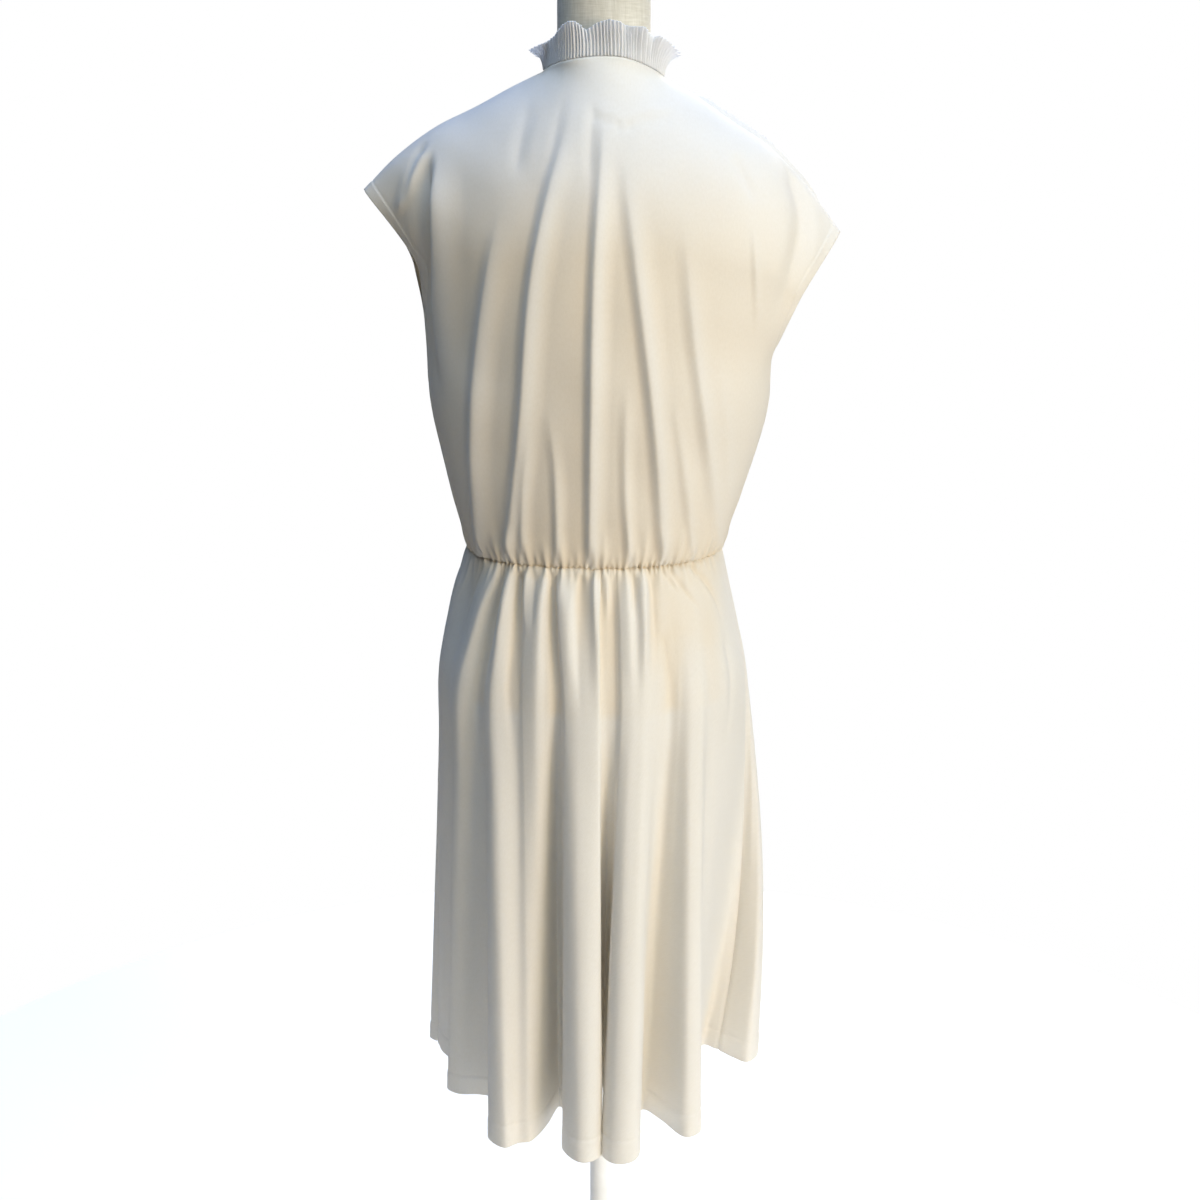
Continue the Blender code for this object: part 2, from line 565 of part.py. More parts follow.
def wall(name, grid, normals, thick, slot, outwards=None):
    """A closed wall: the grid is its outer face, or what it lies on, outwards away."""
    outer = grid if outwards is None else grid + normals * (outwards + thick)
    inner = outer - normals * thick
    rows, cols = grid.shape[:2]
    bm = bmesh.new()
    vo = [[bm.verts.new(to_world(p)) for p in line] for line in outer]
    vi = [[bm.verts.new(to_world(p)) for p in line] for line in inner]
    for r in range(rows - 1):
        for c in range(cols - 1):
            bm.faces.new((vo[r][c], vo[r][c + 1], vo[r + 1][c + 1], vo[r + 1][c]))
            bm.faces.new((vi[r][c], vi[r + 1][c], vi[r + 1][c + 1], vi[r][c + 1]))
    for c in range(cols - 1):
        bm.faces.new((vo[0][c + 1], vo[0][c], vi[0][c], vi[0][c + 1]))
        bm.faces.new((vo[-1][c], vo[-1][c + 1], vi[-1][c + 1], vi[-1][c]))
    for r in range(rows - 1):
        bm.faces.new((vo[r][0], vo[r + 1][0], vi[r + 1][0], vi[r][0]))
        bm.faces.new((vo[r + 1][-1], vo[r][-1], vi[r][-1], vi[r + 1][-1]))
    return finish(bm, name, slot)


def loft(name, rings, slot, smooth=True, on_floor=False):
    """A solid through closed rings of points, capped at both ends."""
    bm = bmesh.new()
    loops = []
    for ring in rings:
        verts = [bm.verts.new(to_world(p)) for p in ring]
        loops.append(verts)
    for low, high in zip(loops[:-1], loops[1:]):
        for i in range(len(low)):
            j = (i + 1) % len(low)
            bm.faces.new((low[i], low[j], high[j], high[i]))
    bm.faces.new(loops[0])
    bm.faces.new(loops[-1])
    return finish(bm, name, slot, smooth, on_floor)


def form_ring(z, mid, half, behind, front, count=32, grow=0.0):
    a = np.linspace(0, 2 * math.pi, count, endpoint=False)
    c, s = np.cos(a), np.sin(a)
    u = mid + (half + grow) * np.sign(s) * np.abs(s) ** 0.95
    d = np.where(c > 0, behind + grow, front + grow) * np.sign(c) * np.abs(c) ** 0.95
    return np.stack([u, d, np.full(count, z)], -1)


def turned(name, profile, centre, slot, count=40, on_floor=True):
    """A turned solid from its profile of radius and height."""
    rings = []
    a = np.linspace(0, 2 * math.pi, count, endpoint=False)
    for r, z in profile:
        rings.append(np.stack([centre[0] + r * np.sin(a), centre[1] + r * np.cos(a), np.full(count, z)], -1))
    return loft(name, rings, slot, on_floor=on_floor)


# ------------------------------------------------------------ the pieces
def build_form():
    rings = [form_ring(z, mid, half, behind, front) for _, z, mid, half, behind, front in FORM]
    loft("form_torso", rings, "form_linen")
    _, z, mid, half, behind, front = FORM[0]
    loft("form_underside",
         [form_ring(z - 0.0103, mid, half, behind, front, grow=-0.010),
          form_ring(z - 0.0060, mid, half, behind, front, grow=-0.006),
          form_ring(z - 0.0003, mid, half, behind, front, grow=-0.006)],
         "stand_paint")
    top = NECK_TOP_Z + 0.0003
    cap = [(0.0440, top), (0.0455, top + 0.003), (0.0440, top + 0.007), (0.0300, top + 0.012), (0.0120, top + 0.015)]
    turned("form_neck_cap", cap, (FORM[-1][2], 0.0), "stand_paint", 32, on_floor=False)


def build_stand():
    under = POLE_LIFT + FORM_BOTTOM_Z - 0.0103 - 0.0003
    turned("stand_pole",
           [(POLE_R, BASE_THICK + 0.0303), (POLE_R, under - 0.0303)],
           (0, 0), "stand_paint", 20)
    turned("stand_socket",
           [(0.026, BASE_THICK + 0.0003), (0.026, BASE_THICK + 0.006), (0.018, BASE_THICK + 0.012), (0.017, BASE_THICK + 0.030)],
           (0, 0), "stand_paint", 24)
    turned("stand_collar",
           [(0.017, under - 0.030), (0.018, under - 0.012), (0.030, under - 0.005), (0.030, under)],
           (0, 0), "stand_paint", 24)
    turned("stand_base",
           [(BASE_R, 0.0), (BASE_R, BASE_THICK * 0.55), (BASE_R - 0.003, BASE_THICK * 0.85), (BASE_R - 0.010, BASE_THICK)],
           (0, 0), "stand_paint", 48)


FRONT_S = np.array([0.0, 0.08, 0.16, NECK_S, 0.32, 0.40, 0.48, 0.56, 0.64, 0.73, 0.82, 0.91, 1.0])
BODICE_T = np.array([0, 0.035, 0.10, 0.20, 0.32, 0.44, 0.53, 0.62, 0.72, 0.81, 0.90, 0.96, 1.0])


def build_bodice():
    s = np.concatenate([-np.array([1, 0.94, 0.87, 0.80, 0.73, 0.66, 0.59, 0.52, 0.45, 0.38, 0.31, NECK_S, 0.18, 0.12, 0.06]),
                        [0.0],
                        np.array([0.06, 0.12, 0.18, NECK_S, 0.31, 0.38, 0.45, 0.52, 0.59, 0.66, 0.73, 0.80, 0.87, 0.94, 1])])
    grid, n = bodice_grid("back", s, BODICE_T)
    wall("bodice_back", grid, n, CLOTH, "dress_cloth")
    for name, side in (("bodice_front_left", -1), ("bodice_front_right", 1)):
        half = FRONT_S * side
        if side < 0:
            half = half[::-1]
        grid, n = bodice_grid("front", half, BODICE_T)
        mid = -1 if side < 0 else 0
        grid[:, mid, 0] = side * SEAM_GAP / 2
        n[:, mid, 0] = 0
        n[:, mid] = unit(n[:, mid])
        wall(name, grid, n, CLOTH, "dress_cloth")


def placket_strip():
    """Points of the two fronts on either side of the middle, under the placket."""
    near, _ = bodice_grid("front", np.array([-FRONT_S[1], 0.0, FRONT_S[1]]), BODICE_T)
    near[0] += (near[1] - near[0]) * 0.30
    near[-1] += (near[-2] - near[-1]) * 0.4
    half = PLACKET_WIDE / 2
    rows = []
    for left, mid, right in near:
        a = mid + (left - mid) * (half / abs(left[0]))
        b = mid + (right - mid) * (half / abs(right[0]))
        rows.append([a, mid, b])
    grid = np.array(rows)
    n = grid_normals(grid)
    n[..., 0] = 0
    return grid, unit(n)


def build_placket():
    grid, n = placket_strip()
    lift = np.full((len(grid), 1, 1), ON_TOP + 0.0002)
    lift[-1] += 0.0006
    wall("placket", grid, n, PLACKET_THICK, "dress_cloth", outwards=lift)
    line = grid[:, 1] + n[:, 1] * (ON_TOP + 0.0002 + PLACKET_THICK)
    for i, height in enumerate(BUTTON_HEIGHTS, 1):
        k = int(np.clip(np.searchsorted(line[:, 2], height) - 1, 0, len(line) - 2))
        w = (height - line[k, 2]) / (line[k + 1, 2] - line[k, 2])
        p = line[k] + (line[k + 1] - line[k]) * w
        run = unit(line[k + 1] - line[k])
        side = np.array([1.0, 0, 0])
        d = unit(np.cross(run, side))
        d = d if d[1] < 0 else -d
        base = p + d * (ON_TOP + 0.0005)
        up = run
        a = np.linspace(0, 2 * math.pi, 14, endpoint=False)
        rings = []
        for r, h in ((BUTTON_R * 0.84, 0.0), (BUTTON_R, 0.0008), (BUTTON_R, 0.0018), (BUTTON_R * 0.86, BUTTON_THICK),
                     (BUTTON_R * 0.56, BUTTON_THICK - 0.0006)):
            rings.append(base + d * h + r * (np.cos(a)[:, None] * side + np.sin(a)[:, None] * up))
        loft("button_%d" % i, rings, "button")


def build_collar():
    grid = ruffle_grid([0.0, 0.5, 1.0])
    n = grid_normals(grid)
    wall("collar_ruffle", grid, n, RUFFLE_WALL, "ruffle_cloth")


def build_skirt():
    heights = np.array([WAIST_SEAM_Z - SEAM_GAP / 2, 0.890, 0.845, HIP_Z, 0.690, 0.550, 0.410, HEM_Z])
    grid, n = skirt_grid(heights, 2)
    names = [r[0] for r in SKIRT]
    left, right = 0, 2 * names.index("side_R")
    total = grid.shape[1]
    back = list(range(left, right + 1))
    front = list(range(right, total)) + [0]
    for name, cols in (("skirt_back", back), ("skirt_front", front)):
        part = grid[:, cols].copy()
        along = unit(grid[:, cols[1]] - grid[:, cols[0]])
        part[:, 0] += along * SEAM_GAP / 2
        along = unit(grid[:, cols[-2]] - grid[:, cols[-1]])
        part[:, -1] += along * SEAM_GAP / 2
        wall(name, part, n[:, cols], CLOTH, "dress_cloth")


def build_elastic():
    """Flat elastic band, sewn inside the waist seam."""
    high, thick = 0.010, 0.0010
    rings = []
    a = np.linspace(0, 360, 48, endpoint=False)
    for off, z in ((0.0, -1), (0.0, 1), (-thick, 1), (-thick, -1)):
        u, d = ring_point(a, WAIST_SEAM_Z, -CLOTH - 0.0009 + off)
        rings.append(np.stack([u, d, np.full(len(a), WAIST_SEAM_Z + z * high / 2)], -1))
    bm = bmesh.new()
    loops = [[bm.verts.new(to_world(p)) for p in ring] for ring in rings]
    for k in range(4):
        one, two = loops[k], loops[(k + 1) % 4]
        for i in range(len(one)):
            j = (i + 1) % len(one)
            bm.faces.new((one[i], one[j], two[j], two[i]))
    finish(bm, "waist_elastic", "elastic")


def main():
    clear_scene()
    build_form()
    build_stand()
    build_bodice()
    build_placket()
    build_collar()
    build_elastic()
    build_skirt()


main()
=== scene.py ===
import math

import bpy
import numpy as np
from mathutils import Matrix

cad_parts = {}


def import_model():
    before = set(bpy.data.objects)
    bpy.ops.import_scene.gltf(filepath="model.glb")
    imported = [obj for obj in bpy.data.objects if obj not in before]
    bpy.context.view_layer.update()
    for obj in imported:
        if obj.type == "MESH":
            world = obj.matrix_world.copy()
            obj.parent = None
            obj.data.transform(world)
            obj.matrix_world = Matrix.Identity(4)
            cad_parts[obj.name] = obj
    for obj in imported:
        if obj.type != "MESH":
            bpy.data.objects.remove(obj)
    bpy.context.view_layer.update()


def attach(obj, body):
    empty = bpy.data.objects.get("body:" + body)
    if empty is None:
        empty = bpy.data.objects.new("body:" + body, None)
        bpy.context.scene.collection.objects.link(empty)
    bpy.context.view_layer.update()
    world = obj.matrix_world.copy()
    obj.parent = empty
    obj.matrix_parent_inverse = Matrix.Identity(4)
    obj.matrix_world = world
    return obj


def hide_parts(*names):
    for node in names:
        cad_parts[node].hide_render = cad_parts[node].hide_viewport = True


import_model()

LIFT = 0.120            # how far the form is raised on its pole
WALL = 0.00075          # thickness of the fine cloth
HEM_WALL = 0.0015       # and where its hem is turned up
SEAM_GAP = 0.0002
WAIST_SEAM_Z = 0.9310
HIP_Z = 0.800
HEM_Z = 0.272
COLLAR_HIGH = 0.034
PLEAT_PITCH = 0.0035
PLACKET_WIDE = 0.026
ON_TOP = 0.0003
BUTTON_R = 0.0056
BUTTON_THICK = 0.0026
FORM_BOTTOM_Z = 0.772
NECK_TOP_Z = 1.552
POLE_R = 0.0125
BASE_R = 0.165
BASE_THICK = 0.014
NECK_S = 0.24

# ------------------------------------------------------------------ tables
FORM = [
    # name, z, middle u, half width, behind, in front
    ("bottom", 0.772, -0.008, 0.146, 0.101, 0.101),
    ("lower_edge", 0.786, -0.008, 0.153, 0.110, 0.110),
    ("seat", 0.812, -0.008, 0.155, 0.113, 0.113),
    ("hip", 0.850, -0.008, 0.150, 0.110, 0.112),
    ("high_hip", 0.890, -0.008, 0.142, 0.101, 0.107),
    ("over_hip", 0.932, -0.007, 0.133, 0.090, 0.099),
    ("low_waist", 0.980, -0.006, 0.123, 0.082, 0.090),
    ("waist", 1.020, -0.005, 0.119, 0.079, 0.087),
    ("ribs", 1.080, -0.003, 0.128, 0.085, 0.099),
    ("under_bust", 1.140, -0.001, 0.140, 0.093, 0.117),
    ("bust", 1.190, 0.000, 0.149, 0.101, 0.126),
    ("chest", 1.240, 0.000, 0.156, 0.107, 0.114),
    ("upper_chest", 1.290, 0.000, 0.163, 0.109, 0.094),
    ("shoulder_end", 1.325, 0.000, 0.166, 0.104, 0.079),
    ("shoulder_4", 1.347, 0.000, 0.161, 0.096, 0.067),
    ("shoulder_3", 1.364, 0.000, 0.147, 0.084, 0.058),
    ("shoulder_2", 1.381, 0.001, 0.125, 0.075, 0.052),
    ("shoulder_1", 1.396, 0.002, 0.097, 0.064, 0.046),
    ("neck_root", 1.411, 0.003, 0.0680, 0.0540, 0.0430),
    ("neck_curve", 1.430, 0.004, 0.0515, 0.0480, 0.0410),
    ("neck_low", 1.455, 0.004, 0.0490, 0.0470, 0.0430),
    ("neck", 1.505, 0.004, 0.0480, 0.0450, 0.0450),
    ("neck_top", 1.552, 0.004, 0.0475, 0.0440, 0.0450),
]

BACK_ROWS = [
    # name, t, z and d at the middle, sweep in degrees, left u, d, z, right u, d, z
    ("waist_seam", 0.00, 0.9312, 0.1000, 90, -0.1460, -0.004, 0.9312, 0.1330, -0.004, 0.9312),
    ("blouse", 0.035, 0.9440, 0.1038, 90, -0.1510, -0.004, 0.9440, 0.1390, -0.004, 0.9440),
    ("over_blouse", 0.10, 0.9800, 0.1100, 90, -0.1605, -0.004, 0.9780, 0.1515, -0.004, 0.9780),
    ("low_back", 0.22, 1.0480, 0.1185, 90, -0.1755, -0.005, 1.0440, 0.1720, -0.004, 1.0420),
    ("mid_back", 0.36, 1.1120, 0.1250, 89, -0.1865, -0.009, 1.1040, 0.1845, -0.001, 1.1000),
    ("underarm", 0.44, 1.1560, 0.1272, 86, -0.1890, -0.016, 1.1420, 0.1855, 0.006, 1.1390),
    ("blades", 0.53, 1.2080, 0.1280, 78, -0.1895, -0.002, 1.1880, 0.1930, 0.034, 1.1690),
    ("chest_line", 0.62, 1.2620, 0.1262, 69, -0.1915, 0.014, 1.2330, 0.2075, 0.047, 1.2050),
]
FRONT_ROWS = [
    ("waist_seam", 0.00, 0.9312, -0.1060, 90, -0.1460, -0.004, 0.9312, 0.1330, -0.004, 0.9312),
    ("blouse", 0.035, 0.9440, -0.1125, 90, -0.1510, -0.004, 0.9440, 0.1390, -0.004, 0.9440),
    ("over_blouse", 0.10, 0.9800, -0.1210, 90, -0.1605, -0.004, 0.9780, 0.1515, -0.004, 0.9780),
    ("low_front", 0.22, 1.0480, -0.1320, 90, -0.1755, -0.005, 1.0440, 0.1720, -0.004, 1.0420),
    ("mid_front", 0.36, 1.1120, -0.1420, 89, -0.1865, -0.009, 1.1040, 0.1845, -0.001, 1.1000),
    ("underarm", 0.44, 1.1560, -0.1465, 86, -0.1890, -0.016, 1.1420, 0.1855, 0.006, 1.1390),
    ("bust", 0.53, 1.2080, -0.1460, 80, -0.1950, -0.050, 1.1860, 0.1920, -0.034, 1.1800),
    ("chest_line", 0.62, 1.2600, -0.1340, 72, -0.2050, -0.062, 1.2330, 0.2070, -0.050, 1.2180),
]
SHOULDER = [
    # name, s, left u, d, z, right u, d, z
    ("neck_point", 0.24, -0.0580, 0.0040, 1.4390, 0.0660, 0.0060, 1.4325),
    ("shoulder_1", 0.36, -0.0910, 0.0040, 1.4235, 0.0985, 0.0110, 1.4150),
    ("shoulder_2", 0.50, -0.1310, 0.0040, 1.4025, 0.1350, 0.0130, 1.3910),
    ("shoulder_3", 0.65, -0.1710, 0.0050, 1.3835, 0.1750, 0.0130, 1.3655),
    ("shoulder_4", 0.82, -0.2130, 0.0060, 1.3545, 0.2160, 0.0110, 1.3255),
    ("sleeve_point", 1.00, -0.2490, 0.0030, 1.3200, 0.2550, 0.0040, 1.2760),
]
BACK_NECK = [
    ("centre", 0.00, 0.0040, 0.0600, 1.4520),
    ("side", 0.12, 0.0340, 0.0500, 1.4480),
]
FRONT_NECK = [
    ("centre", 0.00, 0.0000, -0.0720, 1.4140),
    ("side", 0.12, 0.0330, -0.0600, 1.4180),
]
ARRIVAL = [
    # name, s, reach of the start, run u, back run d, z, front run d, z
    ("centre", 0.00, 0.190, 0.000, -0.085, 0.125, 0.060, 0.110),
    ("neck_side", 0.12, 0.190, 0.000, -0.120, 0.100, 0.095, 0.085),
    ("neck_point", 0.24, 0.190, 0.001, -0.165, 0.030, 0.150, 0.050),
    ("shoulder_2", 0.50, 0.175, 0.007, -0.165, 0.022, 0.160, 0.000),
    ("shoulder_4", 0.82, 0.110, 0.020, -0.100, 0.020, 0.110, 0.004),
    ("sleeve_point", 1.00, 0.070, 0.022, -0.040, 0.040, 0.062, 0.030),
]

# Long folds of the bodice. The crest's or trough's u at four heights from low
# to high, its rise low, halfway and high, and how far its flanks reach to the
# left and to the right. All in mm.
RIDGES = [
    # name, panel, z_low, z_high, u_1, u_2, u_3, u_4, rise_1, rise_2, rise_3, left, right
    ("E", "back", 930, 1318, -130, -133, -121, -98, 5.0, 6.5, 1.5, 12, 20),
    ("E_left", "back", 1090, 1362, -160, -169, -168, -170, 1.5, 7.0, 8.0, 9, 24),
    ("A", "back", 930, 1418, -101, -81, -65, -24, 4.5, 7.2, 2.4, 11, 20),
    ("A_2", "back", 930, 1095, -83, -81, -77, -70, 3.0, 2.4, 0.3, 8, 12),
    ("A_B", "back", 930, 1110, -46, -45, -47, -54, 4.0, 3.0, 0.3, 9, 11),
    ("B", "back", 930, 1416, -11, -9, -5, 7, 5.5, 6.8, 2.4, 10, 18),
    ("B_C", "back", 930, 1150, 33, 27, 26, 29, 4.0, 2.8, 0.2, 9, 11),
    ("C", "back", 930, 1382, 67, 56, 38, 20, 4.5, 6.2, 1.0, 11, 20),
    ("C_D", "back", 930, 1135, 100, 93, 83, 72, 3.0, 2.4, 0.2, 9, 12),
    ("D", "back", 940, 1310, 131, 112, 94, 83, 2.8, 4.6, 0.4, 12, 19),
    ("D_right", "back", 950, 1190, 142, 137, 128, 112, 2.0, 2.6, 0.2, 14, 16),
    ("R_fine", "back", 1170, 1292, 163, 160, 157, 154, 0.6, 2.0, 1.0, 5, 9),
    ("L_trough", "back", 1180, 1366, -184, -182, -180, -174, -1.0, -11.5, -6.0, 15, 8),
    ("L_sleeve", "back", 1288, 1368, -212, -203, -192, -174, 1.5, 5.5, 2.5, 10, 10),
    ("L_trough_2", "back", 1300, 1372, -208, -200, -191, -178, -1.0, -5.0, -2.5, 7, 6),
    ("R_trough", "back", 1170, 1362, 176, 199, 211, 186, -1.5, -7.0, -4.0, 20, 15),
    ("R_dimple", "back", 1308, 1362, 157, 150, 142, 133, -0.5, -3.0, -0.5, 9, 8),
    ("nape_A", "back", 1330, 1418, -53, -47, -42, -36, -0.3, -1.0, -0.3, 10, 12),
    ("nape_B", "back", 1328, 1416, -11, -10, -8, -5, -0.4, -1.5, -0.3, 10, 9),
    ("upper_left", "back", 1330, 1412, -84, -82, -76, -70, -0.4, -1.6, -0.4, 12, 12),
    ("F", "front", 930, 1270, -128, -116, -100, -88, 5.0, 6.5, 0.5, 16, 20),
    ("G", "front", 930, 1345, -92, -78, -66, -56, 4.5, 6.0, 0.6, 15, 18),
    ("G_2", "front", 930, 1150, -58, -54, -52, -48, 4.0, 3.0, 0.2, 11, 14),
    ("H_0", "front", 930, 1210, -30, -27, -26, -25, 4.0, 3.5, 0.3, 9, 10),
    ("H_1", "front", 930, 1180, 28, 26, 25, 26, 4.2, 3.2, 0.3, 10, 9),
    ("H", "front", 930, 1335, 62, 57, 50, 44, 4.5, 6.0, 0.5, 16, 15),
    ("H_2", "front", 930, 1120, 88, 84, 80, 78, 3.5, 2.6, 0.2, 11, 12),
    ("I", "front", 930, 1260, 118, 110, 100, 90, 4.8, 6.2, 0.4, 18, 16),
    ("I_2", "front", 930, 1090, 138, 140, 142, 146, 3.0, 2.2, 0.2, 12, 12),
    ("F_2", "front", 930, 1120, -146, -148, -152, -158, 3.0, 2.4, 0.2, 12, 12),
]

# Slack creases that run across a panel: z at four places from u_low to u_high,
# rise and half width, mm.
CROSS = [
    # name, panel, u_low, u_high, z_1, z_2, z_3, z_4, rise, half
    ("nape_left", "back", -12, 26, 1395, 1391, 1387, 1381, -1.5, 4.5),
    ("nape_left_lip", "back", -12, 28, 1403, 1399, 1395, 1389, 0.7, 5.0),
    ("nape_right", "back", 16, 76, 1379, 1387, 1391, 1391, -1.3, 4.6),
    ("nape_right_lip", "back", 14, 78, 1388, 1396, 1400, 1400, 0.6, 5.4),
    ("under_left", "back", -172, -148, 1062, 1056, 1052, 1050, 0.8, 3.0),
    ("chest_left", "front", -190, -120, 1232, 1240, 1238, 1226, 1.6, 9.0),
    ("chest_right", "front", 124, 196, 1224, 1236, 1238, 1228, 1.5, 9.0),
    ("dart_left", "front", -184, -98, 1150, 1160, 1168, 1172, 1.4, 8.0),
    ("dart_right", "front", 100, 182, 1172, 1166, 1158, 1148, 1.4, 8.0),
]

# Folds of the skirt, in order from the left side seam across the back to the
# right side seam and round the front. Degrees from the middle of the back, at
# the waist seam and where the cloth leaves the form; rise is how far it stands
# off just under the waist, out at the hip, bow halfway down, and hem_u and
# hem_d where it meets the hem. All but degrees in mm.
SKIRT = [
    # name, panel, waist_deg, hip_deg, rise, out, bow, hem_u, hem_d
    ("side_L", "back", -90, -91, 6, 6, 0, -205, -50),
    ("panel_L", "back", -80, -81, 5, 4, 0, -196, -24),
    ("tuck_1", "back", -68, -71, -2, -1, 0, -180, 0),
    ("rise_1", "back", -58, -63, 2, 5, 0, -174, 34),
    ("edge_1", "back", -50.5, -58, 7, 10, 0, -183, 56),
    ("crest_1", "back", -47, -54, 8.5, 12, 0, -170, 68),
    ("flat_1", "back", -44.5, -49.5, 3, 6, 0, -142, 70),
    ("tuck_2", "back", -42.8, -46.4, -1.5, 0, 2, -118, 80),
    ("rise_2", "back", -41.4, -42.6, 2, 4, 0, -117, 118),
    ("edge_2", "back", -40.0, -39.6, 7, 10, 0, -128, 156),
    ("crest_2", "back", -37.6, -35.6, 9, 11.5, 0, -108, 177),
    ("trough_2", "back", -34.2, -28.6, -0.5, 2.5, 0, -92, 168),
    ("slope_2", "back", -29.5, -25, 4, 6, 0, -80, 166),
    ("crest_3", "back", -22.4, -20, 8, 9.5, 0, -70, 152),
    ("slope_3", "back", -20.2, -16.5, 3, 5, 2, -60, 130),
    ("valley_3", "back", -18.9, -13.5, -1.5, 0.5, 0, -48, 96),
    ("tuck_4", "back", -17.6, -12.0, -1, 1, 0, -40, 108),
    ("rise_4", "back", -16.4, -10.6, 3, 5, 0, -40, 148),
    ("edge_4", "back", -15.2, -9.2, 8, 9.5, 0, -42, 180),
    ("crest_4", "back", -10.4, -5.4, 8.5, 11.5, 0, -25, 203),
    ("trough_4", "back", -4.6, -1.6, 3, 10.5, 0, -13, 204),
    ("turn_4", "back", 1.0, 2.0, 8, 11, 0, 1, 191),
    ("fall_4", "back", 2.2, 3.1, 4, 7, 5, 0, 145),
    ("depth_4", "back", 3.0, 3.8, 1.5, 5.5, 18, -1, 90),
    ("valley_5", "back", 5.6, 5.6, 1.5, 4.5, 25, 3, 51),
    ("depth_5", "back", 8.0, 8.0, 1.0, 4.5, 18, 7, 90),
    ("rise_5", "back", 9.6, 9.4, 3, 7, 5, 5, 145),
    ("turn_5", "back", 11.2, 11.0, 6.5, 10.5, 0, 1.5, 186),
    ("crest_5", "back", 14.2, 13.6, 8.5, 12, 0, 12, 203),
    ("trough_5", "back", 17.2, 16, 6, 11.5, 0, 25, 206),
    ("swell_5", "back", 20.6, 18.6, 8.5, 11.5, 0, 38, 200),
    ("edge_5", "back", 24.8, 21.6, 3, 8, 0, 45, 182),
    ("fall_5", "back", 28, 24.8, 3, 5.5, 0, 40, 148),
    ("tuck_6", "back", 31, 28, 3.5, 3, 0, 42, 114),
    ("valley_6", "back", 34.5, 31, 3.5, 1.5, 0, 51, 101),
    ("slope_6", "back", 38, 34, 4, 4, 0, 71, 122),
    ("crest_6", "back", 42, 38, 4, 8, 0, 98, 156),
    ("edge_6", "back", 46.5, 42.4, 4.5, 8.5, 0, 115, 146),
    ("fall_6", "back", 51, 47.6, 4, 6, 0, 112, 105),
    ("depth_6", "back", 57, 54.5, 3.5, 4.5, 8, 111, 54),
    ("depth_7", "back", 65, 64.5, 2.5, 4.5, 12, 118, -6),
    ("valley_7", "back", 75, 77, 2, 4, 14, 130, -42),
    ("side_R", "front", 88, 90, 3, 5, 15, 147, -31),
    ("rise_8", "front", 91, 94, 3, 7, 17, 165, -13),
    ("crest_8", "front", 95, 98, 4, 8, 18, 181, -2),
    ("turn_8", "front", 100, 103, 4, 9, 17, 194, -16),
    ("side_8", "front", 106, 109, 3, 8, 13, 197, -46),
    ("fall_8", "front", 113, 116, 2, 5, 6, 186, -82),
    ("valley_9", "front", 121, 123, 1, 2, 0, 156, -104),
    ("rise_9", "front", 128, 130, 3, 5, 0, 150, -140),
    ("crest_9", "front", 134, 136, 6, 9, 0, 146, -176),
    ("turn_9", "front", 140, 142, 5, 9, 0, 120, -190),
    ("slope_9", "front", 146, 148, 2, 5, 0, 98, -172),
    ("valley_10", "front", 153, 154, 0, 2, 0, 78, -142),
    ("rise_10", "front", 158, 159, 3, 5, 0, 66, -166),
    ("crest_10", "front", 164, 165, 6, 9, 0, 50, -202),
    ("turn_10", "front", 171, 171, 5, 9, 0, 26, -208),
    ("slope_10", "front", 177, 176, 2, 5, 0, 10, -178),
    ("valley_11", "front", 183, 181, 0, 2, 0, -6, -150),
    ("rise_11", "front", 189, 186, 3, 5, 0, -20, -178),
    ("crest_11", "front", 195, 192, 6, 9, 0, -38, -210),
    ("turn_11", "front", 202, 198, 5, 9, 0, -62, -204),
    ("slope_11", "front", 209, 204, 2, 5, 0, -80, -172),
    ("valley_12", "front", 216, 210, 0, 2, 0, -96, -142),
    ("rise_12", "front", 223, 217, 3, 5, 0, -112, -160),
    ("crest_12", "front", 230, 224, 6, 9, 0, -136, -186),
    ("turn_12", "front", 237, 231, 5, 9, 0, -160, -172),
    ("slope_12", "front", 243, 239, 2, 5, 0, -166, -136),
    ("valley_13", "front", 250, 247, 1, 3, 0, -174, -104),
    ("rise_13", "front", 257, 255, 2, 6, 0, -196, -86),
    ("side_13", "front", 264, 262, 3, 7, 0, -215, -62),
]
CAD_HEIGHTS = [WAIST_SEAM_Z - SEAM_GAP / 2, 0.890, 0.845, HIP_Z, 0.690, 0.550, 0.410, HEM_Z]

